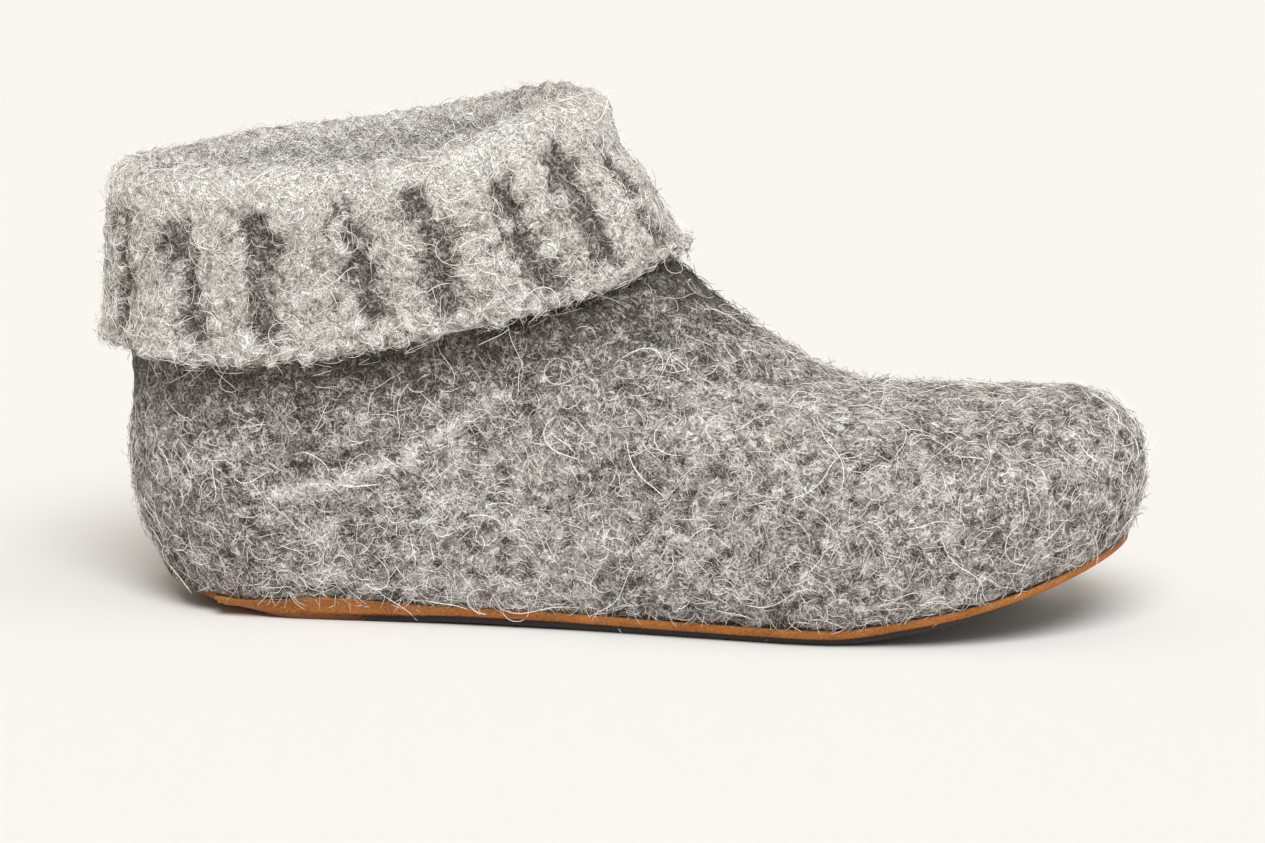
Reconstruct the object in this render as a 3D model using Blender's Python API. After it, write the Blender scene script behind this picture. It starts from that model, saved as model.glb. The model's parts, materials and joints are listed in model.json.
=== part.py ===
# Felted wool slipper boot for the right foot, with a turned-down ribbed cuff and a thin suede sole.
#
# Metres, +X towards the toe, +Y towards the inner (big toe) side, +Z up, floor at z = 0.
# Meshes are measured from the back of the heel, and every piece is placed so that the
# middle of the heel's flat spot lies at the world origin.

import math

import bmesh
import bpy
import numpy as np

# Driving sizes
FOOT_LENGTH = 0.270           # heel back to toe tip, over the felt
COLLAR_HEIGHT = 0.1356        # front of the fold's centre line above the floor
BALL_HALF_WIDTH = 0.0510      # centre line to the side of the felt at the ball
SHAFT_HALF_WIDTH = 0.0365     # centre line to the side of the shaft
FELT_WALL = 0.0045            # felted foot and shaft
SUEDE_THICKNESS = 0.0022      # outsole
INSOLE_THICKNESS = 0.0030     # loose insole
CUFF_LEAF = 0.0062            # folded-down layer of the cuff, over a rib
FOLD_SLIT = 0.0010            # between the cuff's two layers
RIB_DEPTH = 0.0030            # valley between two ribs
RIB_COUNT = 17                # ribs around the cuff
SEAT_GAP = 0.0004             # between pieces that touch
INSOLE_CLEARANCE = 0.0025     # insole edge to the inside of the felt
SOLE_REACH = 0.0030           # the sole's edge lies where the felt has risen this far off it
HEEL_CORNER = 0.0360          # rounding of the heel seen from above
SHAFT_CORNER = 0.0500         # rounding of the shaft's back seen from above
TOE_CORNER = 0.0600           # rounding of the toe seen from above
UNDER_CORNER = 0.0260         # height over which the side rolls under the foot
EDGE_LIFT = 0.0026            # sole's edge above its middle: it curls up with the felt

# Stations from the collar round the heel to the toe. Each joins a point of the back and sole
# profile to a point of the front and instep profile. Lengths are shares of FOOT_LENGTH,
# heights are shares of COLLAR_HEIGHT, and front_round is a share of FOOT_LENGTH.
STATION_COLUMNS = ("back_x", "back_z", "front_x", "front_z", "front_round")
STATIONS = np.array([
    (0.004, 0.830, 0.437, 1.000, 0.215),
    (0.000, 0.749, 0.460, 0.893, 0.215),
    (-0.001, 0.654, 0.489, 0.816, 0.215),
    (-0.003, 0.535, 0.511, 0.746, 0.210),
    (0.001, 0.425, 0.529, 0.701, 0.205),
    (-0.001, 0.329, 0.550, 0.668, 0.195),
    (0.002, 0.241, 0.570, 0.635, 0.185),
    (0.011, 0.156, 0.592, 0.600, 0.170),
    (0.027, 0.082, 0.614, 0.571, 0.155),
    (0.070, 0.001, 0.635, 0.543, 0.145),
    (0.167, -0.010, 0.659, 0.513, 0.138),
    (0.296, -0.010, 0.689, 0.482, 0.134),
    (0.444, -0.010, 0.726, 0.462, 0.130),
    (0.574, -0.010, 0.770, 0.457, 0.128),
    (0.685, -0.010, 0.822, 0.457, 0.124),
    (0.778, 0.019, 0.874, 0.459, 0.118),
    (0.860, 0.058, 0.922, 0.458, 0.110),
    (0.920, 0.101, 0.959, 0.442, 0.095),
    (0.960, 0.147, 0.985, 0.400, 0.075),
    (0.987, 0.201, 0.997, 0.355, 0.055),
    (1.000, 0.284, 1.000, 0.300, 0.040),
])

# Outline from above: lengths are shares of FOOT_LENGTH, widths are shares of BALL_HALF_WIDTH.
# The toe end is the width before the toe's rounding is taken off.
PLAN_COLUMNS = ("along", "outer", "inner", "centre")
PLAN = np.array([
    (0.00, 0.650, 0.650, 0.000),
    (0.15, 0.675, 0.665, 0.000),
    (0.30, 0.705, 0.675, 0.010),
    (0.45, 0.790, 0.715, 0.020),
    (0.58, 0.905, 0.830, 0.010),
    (0.68, 0.985, 0.940, 0.000),
    (0.78, 1.000, 0.970, 0.015),
    (0.88, 0.935, 0.930, 0.060),
    (1.00, 0.830, 0.850, 0.130),
])

# Underside of the sole: lengths are shares of FOOT_LENGTH, heights are shares of COLLAR_HEIGHT.
# The rows of zero height are the flat spots at the heel and the forefoot.
UNDERSIDE_COLUMNS = ("along", "height")
UNDERSIDE = np.array([
    (0.030, 0.0280),
    (0.060, 0.0260),
    (0.100, 0.0215),
    (0.140, 0.0110),
    (0.170, 0.0000),
    (0.270, 0.0000),
    (0.340, 0.0049),
    (0.430, 0.0039),
    (0.520, 0.0010),
    (0.580, 0.0000),
    (0.700, 0.0000),
    (0.725, 0.0049),
    (0.785, 0.0284),
    (0.825, 0.0480),
    (0.883, 0.0880),
    (0.922, 0.1180),
    (0.985, 0.1690),
    (1.000, 0.1890),
])
HEEL_FLAT_ROWS = (4, 5)
SOLE_HEEL_END = 0.060         # share of FOOT_LENGTH
SOLE_TOE_END = 0.983          # share of FOOT_LENGTH

# Fold of the cuff: share of the way from the back to the front, and the station it sinks to
# on the outer and the inner side.
FOLD_COLUMNS = ("along", "outer", "inner")
FOLD = np.array([
    (0.00, 0.10, 0.10),
    (0.07, 0.25, 0.12),
    (0.25, 0.38, 0.15),
    (0.44, 0.66, 0.25),
    (0.64, 0.75, 0.27),
    (0.76, 0.62, 0.22),
    (0.85, 0.45, 0.15),
    (0.92, 0.25, 0.12),
    (1.00, 0.30, 0.30),
])

# Hem of the cuff: share of the way from the back to the front, and the station it hangs to.
HEM_COLUMNS = ("along", "station")
HEM = np.array([
    (0.00, 3.00),
    (0.10, 3.22),
    (0.25, 3.60),
    (0.50, 3.95),
    (0.65, 4.02),
    (0.80, 4.10),
    (1.00, 3.98),
])

# How deep a valley is on its way from the fold, 0, to the hem, 1: share of RIB_DEPTH.
FADE_COLUMNS = ("share", "depth")
FADE = np.array([
    (0.00, 0.00),
    (0.12, 0.25),
    (0.30, 1.00),
    (0.80, 0.80),
    (1.00, 0.10),
])
HEEL_STATION = 8              # station at the heel's lower corner
FOOT_TOP = 0.35               # shares of COLLAR_HEIGHT between which the foot's width
SHAFT_BOTTOM = 0.70           # gives way to the shaft's
JOINT_STATION = 2.00          # where the cuff's inner layer meets the felted shaft
FIRST_VALLEY = math.radians(40.0)
TOE_POWER = 2.5               # 2 is an ellipse, more is blunter
UNDER_POWER = 3.4             # the same for the side where it rolls under the foot
VALLEY_WIDTH = 0.17           # share of the rib pitch
EDGE_BAND = 0.09              # share of the half width over which the sole's edge turns up
CURL_FADE = 14.0              # more lets the edge lie flatter where the sole narrows at its ends

# Facets
HALF_RING = 22
RIB_STEPS = 5
SOLE_STEPS = 32

HEEL_REST_X = FOOT_LENGTH * UNDERSIDE[list(HEEL_FLAT_ROWS), 0].mean()


def smooth(at, knots, values):
    """Monotone cubic through the knots: flat rows stay flat, ends are held."""
    knots = np.asarray(knots, float)
    values = np.asarray(values, float)
    step = np.diff(knots)
    slope = np.diff(values) / step
    rate = np.zeros(len(knots))
    rate[0] = slope[0]
    rate[-1] = slope[-1]
    for k in range(1, len(knots) - 1):
        before = slope[k - 1]
        after = slope[k]
        if before * after > 0:
            rate[k] = 2 * before * after / (before + after)
    at = np.clip(np.asarray(at, float), knots[0], knots[-1])
    k = np.clip(np.searchsorted(knots, at, side="right") - 1, 0, len(step) - 1)
    t = (at - knots[k]) / step[k]
    rise = (values[k] * (1 + 2 * t) + rate[k] * step[k] * t) * (1 - t) ** 2
    fall = (values[k + 1] * (3 - 2 * t) - rate[k + 1] * step[k] * (1 - t)) * t ** 2
    return rise + fall


def rounding(distance, corner, power=2.0):
    """Share of full width at a distance from an end that is rounded over a corner."""
    share = np.clip(distance / corner, 0.0, 1.0)
    return (1 - (1 - share) ** power) ** (1 / power)


def column(table, columns, name):
    """One named column of a table."""
    return table[:, columns.index(name)]


def underside(x):
    """Height of the sole's underside at a length from the heel."""
    along = column(UNDERSIDE, UNDERSIDE_COLUMNS, "along")
    height = column(UNDERSIDE, UNDERSIDE_COLUMNS, "height")
    return COLLAR_HEIGHT * smooth(x / FOOT_LENGTH, along, height)


def felt_bottom(x):
    """Height of the felt's outer bottom: it lies on the suede."""
    return underside(x) + SUEDE_THICKNESS + SEAT_GAP


def plan_half_width(x, side):
    """Half width of the foot at a length from the heel; side is -1 outside, +1 inside."""
    along = column(PLAN, PLAN_COLUMNS, "along")
    outer = smooth(x / FOOT_LENGTH, along, column(PLAN, PLAN_COLUMNS, "outer"))
    inner = smooth(x / FOOT_LENGTH, along, column(PLAN, PLAN_COLUMNS, "inner"))
    return BALL_HALF_WIDTH * np.where(side < 0, outer, inner)


def plan_centre(x):
    """Sideways position of the foot's centre line at a length from the heel."""
    along = column(PLAN, PLAN_COLUMNS, "along")
    return BALL_HALF_WIDTH * smooth(x / FOOT_LENGTH, along, column(PLAN, PLAN_COLUMNS, "centre"))


def under_share(x, z):
    """Share of full width at a height where the side rolls under the foot."""
    back_x = column(STATIONS, STATION_COLUMNS, "back_x")[HEEL_STATION:]
    back_z = column(STATIONS, STATION_COLUMNS, "back_z")[HEEL_STATION:]
    bottom_at_x = COLLAR_HEIGHT * smooth(x / FOOT_LENGTH, back_x, back_z)
    return rounding(z - bottom_at_x, UNDER_CORNER, UNDER_POWER)


def station(at, name):
    """Value of one column of the station table, between its rows."""
    return smooth(at, np.arange(len(STATIONS)), column(STATIONS, STATION_COLUMNS, name))


def body_point(at, turn):
    """Point of the felt's outer surface at a station and a turn round it, 0 at the back or sole."""
    at, turn = np.broadcast_arrays(np.asarray(at, float), np.asarray(turn, float))
    back_x = FOOT_LENGTH * station(at, "back_x")
    back_z = COLLAR_HEIGHT * station(at, "back_z")
    front_x = FOOT_LENGTH * station(at, "front_x")
    front_z = COLLAR_HEIGHT * station(at, "front_z")
    share = (1 - np.cos(turn)) / 2
    side = np.where(np.sin(turn) >= 0, -1.0, 1.0)
    x = back_x + (front_x - back_x) * share
    z = back_z + (front_z - back_z) * share

    upwards = slice(HEEL_STATION, None, -1)
    heights = column(STATIONS, STATION_COLUMNS, "back_z")[upwards]
    backs = column(STATIONS, STATION_COLUMNS, "back_x")[upwards]
    back_at_z = FOOT_LENGTH * smooth(z / COLLAR_HEIGHT, heights, backs)
    rise = np.clip((z / COLLAR_HEIGHT - FOOT_TOP) / (SHAFT_BOTTOM - FOOT_TOP), 0.0, 1.0)
    rise = rise * rise * (3 - 2 * rise)
    half = plan_half_width(x, side) * (1 - rise) + SHAFT_HALF_WIDTH * rise
    back_corner = HEEL_CORNER * (1 - rise) + SHAFT_CORNER * rise
    length = np.hypot(front_x - back_x, front_z - back_z)
    half = half * rounding(FOOT_LENGTH - x, TOE_CORNER, TOE_POWER)
    half = half * rounding(x - back_at_z, back_corner)
    half = half * under_share(x, z)
    half = half * rounding(length * (1 - share), FOOT_LENGTH * station(at, "front_round"))
    centred = (share < 1e-9) | (share > 1 - 1e-9)
    y = plan_centre(x) + side * np.where(centred, 0.0, np.maximum(half, SEAT_GAP))
    return np.stack([x, y, np.maximum(z, felt_bottom(x))], axis=-1)


def body_frame(at, turn):
    """Point, outward normal and upward direction of the shaft's outer surface."""
    point = body_point(at, turn)
    along = body_point(at + 0.05, turn) - body_point(at - 0.05, turn)
    around = body_point(at, turn + 0.05) - body_point(at, turn - 0.05)
    normal = np.cross(along, around)
    normal = normal / np.linalg.norm(normal, axis=-1, keepdims=True)
    upward = -along / np.linalg.norm(along, axis=-1, keepdims=True)
    return point, normal, upward


def principled(name, colour, roughness):
    """Plain Principled material of one colour."""
    material = bpy.data.materials.new(name)
    material.use_nodes = True
    shader = material.node_tree.nodes["Principled BSDF"]
    shader.inputs["Base Color"].default_value = (*colour, 1.0)
    shader.inputs["Roughness"].default_value = roughness
    shader.inputs["Metallic"].default_value = 0.0
    material.diffuse_color = (*colour, 1.0)
    return material


def add_solid(name, mesh_builder, material):
    """Turn a bmesh into a named object, facing out, placed with the heel rest at the origin."""
    bmesh.ops.recalc_face_normals(mesh_builder, faces=mesh_builder.faces)
    mesh = bpy.data.meshes.new(name)
    mesh_builder.to_mesh(mesh)
    mesh_builder.free()
    mesh.materials.append(material)
    mesh.shade_smooth()
    mesh.set_sharp_from_angle(angle=math.radians(50.0))
    piece = bpy.data.objects.new(name, mesh)
    piece.location = (-HEEL_REST_X, 0.0, 0.0)
    bpy.context.scene.collection.objects.link(piece)
    return piece


def ring_of_verts(builder, points):
    """Vertices of one ring."""
    return [builder.verts.new(point) for point in points]


def bridge(builder, first, second):
    """Quads between two rings of the same count."""
    count = len(first)
    for k in range(count):
        n = (k + 1) % count
        builder.faces.new((first[k], first[n], second[n], second[k]))


def cap(builder, ring, tip):
    """Triangles from a ring to a point."""
    count = len(ring)
    for k in range(count):
        builder.faces.new((ring[k], ring[(k + 1) % count], tip))


def surface_normals(grid):
    """Outward unit normals of a grid of rings that close round."""
    along = np.gradient(grid, axis=0)
    around = np.roll(grid, -1, axis=1) - np.roll(grid, 1, axis=1)
    normal = np.cross(along, around)
    return normal / np.linalg.norm(normal, axis=-1, keepdims=True)


# Upper: one felted sock, open at the ankle, closed under the foot
def build_upper():
    turns = np.arange(2 * HALF_RING) * math.pi / HALF_RING
    per_station = np.linalg.norm(body_point(JOINT_STATION + 0.5, turns)
                                 - body_point(JOINT_STATION - 0.5, turns), axis=-1)
    rim = JOINT_STATION + SEAT_GAP / per_station
    last = len(STATIONS) - 1
    lower = np.array([2.4, 3.0, 3.6, 4.2, 4.8, 5.4, 6.0, 6.5, 7.0, 7.5, 8.0, 8.4, 8.8, 9.4, 10.0,
                      10.6, 11.3, 12.0, 12.7, 13.4, 14.1, 14.8, 15.5, 16.1, 16.7, 17.3, 17.9, 18.5,
                      19.0, 19.4])
    outer = np.concatenate([body_point(rim, turns)[None], body_point(lower[:, None], turns[None])])
    inner = outer - FELT_WALL * surface_normals(outer)
    tip = body_point(last, 0.0)

    builder = bmesh.new()
    outer_rings = [ring_of_verts(builder, ring) for ring in outer]
    inner_rings = [ring_of_verts(builder, ring) for ring in inner]
    for k in range(len(outer_rings) - 1):
        bridge(builder, outer_rings[k], outer_rings[k + 1])
        bridge(builder, inner_rings[k], inner_rings[k + 1])
    bridge(builder, outer_rings[0], inner_rings[0])
    cap(builder, outer_rings[-1], builder.verts.new(tip))
    cap(builder, inner_rings[-1], builder.verts.new(tip - np.array([FELT_WALL, 0.0, 0.0])))
    return add_solid("upper", builder, principled("felted_wool", (0.34, 0.31, 0.29), 0.95))


# Cuff: rib-knit band that carries the shaft's wall up, folds over and hangs outside
def build_cuff():
    count = RIB_COUNT * RIB_STEPS
    turns = FIRST_VALLEY + np.arange(count) * 2 * math.pi / count
    pitch = 2 * math.pi / RIB_COUNT
    phase = np.mod(turns - FIRST_VALLEY + pitch / 2, pitch) - pitch / 2
    valley = np.exp(-(phase / (VALLEY_WIDTH * pitch)) ** 2)
    along = (1 - np.cos(turns)) / 2
    hem = smooth(along, column(HEM, HEM_COLUMNS, "along"), column(HEM, HEM_COLUMNS, "station"))
    fold_along = column(FOLD, FOLD_COLUMNS, "along")
    outer_fold = smooth(along, fold_along, column(FOLD, FOLD_COLUMNS, "outer"))
    inner_fold = smooth(along, fold_along, column(FOLD, FOLD_COLUMNS, "inner"))
    fold = np.where(np.sin(turns) >= 0, outer_fold, inner_fold)
    outside = FOLD_SLIT + CUFF_LEAF
    radius = (outside + FELT_WALL) / 2
    middle = (outside - FELT_WALL) / 2

    def layer(at, offset):
        point, normal, upward = body_frame(at, turns)
        return point + normal * np.broadcast_to(offset, turns.shape)[:, None]

    rings = [layer(JOINT_STATION, -FELT_WALL), layer((JOINT_STATION + fold) / 2, -FELT_WALL)]
    point, normal, upward = body_frame(fold, turns)
    for angle in np.radians([180, 150, 120, 90, 60, 30, 0]):
        across = middle + radius * math.cos(angle)
        rings.append(point + normal * across + upward * radius * math.sin(angle))
    for share in (0.12, 0.24, 0.38, 0.52, 0.66, 0.80, 0.92, 1.0):
        fade = smooth(share, column(FADE, FADE_COLUMNS, "share"), column(FADE, FADE_COLUMNS, "depth"))
        rings.append(layer(fold + share * (hem - fold), outside - RIB_DEPTH * fade * valley))
    point, normal, upward = body_frame(hem, turns)
    half_leaf = CUFF_LEAF / 2
    for angle in np.radians([-45, -90, -135]):
        across = FOLD_SLIT + half_leaf + half_leaf * math.cos(angle)
        rings.append(point + normal * across + upward * half_leaf * math.sin(angle))
    for share in (1.0, 0.66, 0.33, 0.08):
        rings.append(layer(fold + share * (hem - fold), FOLD_SLIT))
    rings.append(layer(fold + 0.08 * (hem - fold), 0.0))
    rings.append(layer(JOINT_STATION, 0.0))

    builder = bmesh.new()
    loops = [ring_of_verts(builder, ring) for ring in rings]
    for k in range(len(loops)):
        bridge(builder, loops[k], loops[(k + 1) % len(loops)])
    return add_solid("cuff", builder, principled("rib_wool", (0.50, 0.47, 0.43), 0.95))


def build_sheet(name, material, bottom, thickness, reach, inset, heel_end, toe_end, edge_lift):
    """Sole-shaped sheet on a bottom line, as wide as the felt is a reach above its own bottom."""
    shares = (1 - np.cos(np.linspace(0.06, math.pi - 0.06, SOLE_STEPS))) / 2
    on_floor = column(UNDERSIDE, UNDERSIDE_COLUMNS, "height") == 0.0
    flats = FOOT_LENGTH * column(UNDERSIDE, UNDERSIDE_COLUMNS, "along")[on_floor]
    lengths = np.sort(np.concatenate([heel_end + (toe_end - heel_end) * shares, flats]))
    across_top = np.array([-1.0, EDGE_BAND - 1, 0.0, 1 - EDGE_BAND, 1.0])
    across_under = across_top[::-1]
    at_edge = np.array([1.0, 0.0, 0.0, 0.0, 1.0])
    builder = bmesh.new()
    rings = []
    for x in lengths:
        trim = rounding(x - heel_end, HEEL_CORNER) * rounding(toe_end - x, TOE_CORNER, TOE_POWER)
        under = under_share(x, felt_bottom(x) + reach)
        lift = edge_lift * trim ** CURL_FADE * at_edge
        points = []
        for across, height in ((across_top, bottom(x) + thickness), (across_under, bottom(x))):
            half = (plan_half_width(x, np.sign(across)) * under - inset) * trim
            y = plan_centre(x) + across * half
            points += [(x, y[k], height + lift[k]) for k in range(len(across))]
        rings.append(ring_of_verts(builder, points))
    for k in range(len(rings) - 1):
        bridge(builder, rings[k], rings[k + 1])
    builder.faces.new(rings[0])
    builder.faces.new(rings[-1])
    return add_solid(name, builder, material)


# Outsole: suede sheet with flat spots under the heel and the forefoot
def build_outsole():
    material = principled("suede", (0.31, 0.13, 0.045), 0.9)
    return build_sheet("outsole", material, underside, SUEDE_THICKNESS, SOLE_REACH, 0.0,
                       SOLE_HEEL_END * FOOT_LENGTH, SOLE_TOE_END * FOOT_LENGTH, EDGE_LIFT)


def insole_bottom(x):
    """Height of the insole's underside: it lies on the felt's own bottom, measured square to its slope."""
    slope = (felt_bottom(x + SEAT_GAP) - felt_bottom(x - SEAT_GAP)) / (2 * SEAT_GAP)
    return felt_bottom(x) + FELT_WALL * math.hypot(1.0, slope) + 2 * SEAT_GAP


# Insole: loose felt sheet on the upper's own bottom
def build_insole():
    material = principled("insole_felt", (0.42, 0.40, 0.37), 0.95)
    side_inset = FELT_WALL + INSOLE_CLEARANCE
    end_inset = FELT_WALL + 2 * INSOLE_CLEARANCE
    return build_sheet("insole", material, insole_bottom, INSOLE_THICKNESS, 0.0, side_inset,
                       SOLE_HEEL_END * FOOT_LENGTH + end_inset, SOLE_TOE_END * FOOT_LENGTH - end_inset, 0.0)


for leftover in list(bpy.data.objects):
    bpy.data.objects.remove(leftover, do_unlink=True)

build_upper()
build_cuff()
build_outsole()
build_insole()
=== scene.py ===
# %% [markdown]
# # A felted wool slipper boot
# The real boot is knitted much too large and then boiled, so the stitches shrink into a thick,
# hairy felt. Its cuff is ribbed and turned down once, and a thin sheet of suede is sewn under
# the foot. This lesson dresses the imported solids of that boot: each soft solid is remade as a
# fine surface with its own relief, and then wool fibres are strewn over it. Everything is in
# metres, +X towards the toe, -Y towards the outer side, and z = 0 is the floor.

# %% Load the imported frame
import json
import math

import bpy
import numpy as np
from mathutils import Matrix, Vector

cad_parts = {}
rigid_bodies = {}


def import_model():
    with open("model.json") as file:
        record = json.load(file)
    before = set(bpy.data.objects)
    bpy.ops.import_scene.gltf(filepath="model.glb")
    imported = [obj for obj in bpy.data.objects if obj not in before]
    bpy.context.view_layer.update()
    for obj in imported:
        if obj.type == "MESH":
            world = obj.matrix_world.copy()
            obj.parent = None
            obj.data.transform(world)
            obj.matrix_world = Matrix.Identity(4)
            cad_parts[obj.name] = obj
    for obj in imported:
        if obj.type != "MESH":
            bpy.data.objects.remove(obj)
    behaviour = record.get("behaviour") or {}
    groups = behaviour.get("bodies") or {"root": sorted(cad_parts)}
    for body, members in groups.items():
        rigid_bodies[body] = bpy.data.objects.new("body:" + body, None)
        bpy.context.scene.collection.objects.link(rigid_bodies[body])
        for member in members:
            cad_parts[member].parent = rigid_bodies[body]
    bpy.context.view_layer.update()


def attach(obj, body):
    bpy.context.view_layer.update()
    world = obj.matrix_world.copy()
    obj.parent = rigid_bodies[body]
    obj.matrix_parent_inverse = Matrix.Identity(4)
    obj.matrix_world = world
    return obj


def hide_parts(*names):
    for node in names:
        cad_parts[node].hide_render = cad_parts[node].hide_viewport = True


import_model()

MM = 0.001

# %% [markdown]
# ## The last and its tables
# A shoemaker works over a last. Here the last is a table of stations that run from the collar
# round the heel to the toe, with an outline from above and a line for the underside. They are
# the same tables that shaped the solids, so the fine surfaces land exactly on them. One could
# also subdivide the solids, but their few faces would blur the heel and the toe.

# %% Sizes of the boot
FOOT_LENGTH = 0.270           # heel back to toe tip, over the felt
COLLAR_HEIGHT = 0.1356        # front of the fold's centre line above the floor
BALL_HALF_WIDTH = 0.0510      # centre line to the side of the felt at the ball
SHAFT_HALF_WIDTH = 0.0365     # centre line to the side of the shaft
FELT_WALL = 0.0045            # felted foot and shaft
SUEDE_THICKNESS = 0.0022      # outsole
INSOLE_THICKNESS = 0.0030     # loose insole
CUFF_LEAF = 0.0062            # folded-down layer of the cuff, over a rib
FOLD_SLIT = 0.0010            # between the cuff's two layers
RIB_DEPTH = 0.0030            # valley between two ribs
RIB_COUNT = 17                # ribs around the cuff
SEAT_GAP = 0.0004             # between pieces that touch
INSOLE_CLEARANCE = 0.0025     # insole edge to the inside of the felt
SOLE_REACH = 0.0030           # the sole's edge lies where the felt has risen this far off it
HEEL_CORNER = 0.0360          # rounding of the heel seen from above
SHAFT_CORNER = 0.0500         # rounding of the shaft's back seen from above
TOE_CORNER = 0.0600           # rounding of the toe seen from above
UNDER_CORNER = 0.0260         # height over which the side rolls under the foot
EDGE_LIFT = 0.0026            # sole's edge above its middle: it curls up with the felt
EDGE_BAND = 0.09              # share of the half width over which the sole's edge turns up
CURL_FADE = 14.0              # more lets the edge lie flatter where the sole narrows at its ends
HEEL_STATION = 8              # station at the heel's lower corner
FOOT_TOP = 0.35               # shares of COLLAR_HEIGHT between which the foot's width
SHAFT_BOTTOM = 0.70           # gives way to the shaft's
JOINT_STATION = 2.00          # where the cuff's inner layer meets the felted shaft
TOE_POWER = 2.5               # 2 is an ellipse, more is blunter
UNDER_POWER = 3.4             # the same for the side where it rolls under the foot
SOLE_HEEL_END = 0.060         # share of FOOT_LENGTH
SOLE_TOE_END = 0.983          # share of FOOT_LENGTH

# %% A table whose columns have names
def table(names, rows):
    """Columns of a table by their names."""
    return dict(zip(names, np.array(rows).T))

# %% Stations from the collar to the toe
# Stations from the collar round the heel to the toe. Each joins a point of the back and sole
# profile to a point of the front and instep profile. Lengths are shares of FOOT_LENGTH,
# heights are shares of COLLAR_HEIGHT, and front_round is a share of FOOT_LENGTH.
STATIONS = table(("back_x", "back_z", "front_x", "front_z", "front_round"), [
    (0.004, 0.830, 0.437, 1.000, 0.215),
    (0.000, 0.749, 0.460, 0.893, 0.215),
    (-0.001, 0.654, 0.489, 0.816, 0.215),
    (-0.003, 0.535, 0.511, 0.746, 0.210),
    (0.001, 0.425, 0.529, 0.701, 0.205),
    (-0.001, 0.329, 0.550, 0.668, 0.195),
    (0.002, 0.241, 0.570, 0.635, 0.185),
    (0.011, 0.156, 0.592, 0.600, 0.170),
    (0.027, 0.082, 0.614, 0.571, 0.155),
    (0.070, 0.001, 0.635, 0.543, 0.145),
    (0.167, -0.010, 0.659, 0.513, 0.138),
    (0.296, -0.010, 0.689, 0.482, 0.134),
    (0.444, -0.010, 0.726, 0.462, 0.130),
    (0.574, -0.010, 0.770, 0.457, 0.128),
    (0.685, -0.010, 0.822, 0.457, 0.124),
    (0.778, 0.019, 0.874, 0.459, 0.118),
    (0.860, 0.058, 0.922, 0.458, 0.110),
    (0.920, 0.101, 0.959, 0.442, 0.095),
    (0.960, 0.147, 0.985, 0.400, 0.075),
    (0.987, 0.201, 0.997, 0.355, 0.055),
    (1.000, 0.284, 1.000, 0.300, 0.040),
])

# %% Outline from above and the line of the underside
# Outline from above: lengths are shares of FOOT_LENGTH, widths are shares of BALL_HALF_WIDTH.
# The toe end is the width before the toe's rounding is taken off.
PLAN = table(("along", "outer", "inner", "centre"), [
    (0.00, 0.650, 0.650, 0.000),
    (0.15, 0.675, 0.665, 0.000),
    (0.30, 0.705, 0.675, 0.010),
    (0.45, 0.790, 0.715, 0.020),
    (0.58, 0.905, 0.830, 0.010),
    (0.68, 0.985, 0.940, 0.000),
    (0.78, 1.000, 0.970, 0.015),
    (0.88, 0.935, 0.930, 0.060),
    (1.00, 0.830, 0.850, 0.130),
])

# Underside of the sole: lengths are shares of FOOT_LENGTH, heights are shares of COLLAR_HEIGHT.
# The rows of zero height are the flat spots at the heel and the forefoot.
UNDERSIDE = table(("along", "height"), [
    (0.030, 0.0280),
    (0.060, 0.0260),
    (0.100, 0.0215),
    (0.140, 0.0110),
    (0.170, 0.0000),
    (0.270, 0.0000),
    (0.340, 0.0049),
    (0.430, 0.0039),
    (0.520, 0.0010),
    (0.580, 0.0000),
    (0.700, 0.0000),
    (0.725, 0.0049),
    (0.785, 0.0284),
    (0.825, 0.0480),
    (0.883, 0.0880),
    (0.922, 0.1180),
    (0.985, 0.1690),
    (1.000, 0.1890),
])
HEEL_REST_X = FOOT_LENGTH * 0.22     # middle of the heel's flat spot

# Hem of the cuff: share of the way from the back to the front, and the station it hangs to.
HEM = table(("along", "station"), [
    (0.00, 3.00),
    (0.10, 3.22),
    (0.25, 3.60),
    (0.50, 3.95),
    (0.65, 4.02),
    (0.80, 4.10),
    (1.00, 3.98),
])

# %% Smooth curves and soft steps
def smooth(at, knots, values):
    """Monotone cubic through the knots: flat rows stay flat, ends are held."""
    knots = np.asarray(knots, float)
    values = np.asarray(values, float)
    step = np.diff(knots)
    slope = np.diff(values) / step
    rate = np.zeros(len(knots))
    rate[0] = slope[0]
    rate[-1] = slope[-1]
    for k in range(1, len(knots) - 1):
        before = slope[k - 1]
        after = slope[k]
        if before * after > 0:
            rate[k] = 2 * before * after / (before + after)
    at = np.clip(np.asarray(at, float), knots[0], knots[-1])
    k = np.clip(np.searchsorted(knots, at, side="right") - 1, 0, len(step) - 1)
    t = (at - knots[k]) / step[k]
    rise = (values[k] * (1 + 2 * t) + rate[k] * step[k] * t) * (1 - t) ** 2
    fall = (values[k + 1] * (3 - 2 * t) - rate[k + 1] * step[k] * (1 - t)) * t ** 2
    return rise + fall


def ease(value):
    """0 below 0, 1 above 1, and a soft step between."""
    value = np.clip(value, 0.0, 1.0)
    return value * value * (3 - 2 * value)


def rounding(distance, corner, power=2.0):
    """Share of full width at a distance from an end that is rounded over a corner."""
    share = np.clip(distance / corner, 0.0, 1.0)
    return (1 - (1 - share) ** power) ** (1 / power)

# %% Height of the underside and width of the foot
def underside(x):
    """Height of the sole's underside at a length from the heel."""
    return COLLAR_HEIGHT * smooth(x / FOOT_LENGTH, UNDERSIDE["along"], UNDERSIDE["height"])


def felt_bottom(x):
    """Height of the felt's outer bottom: it lies on the suede."""
    return underside(x) + SUEDE_THICKNESS + SEAT_GAP


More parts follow.
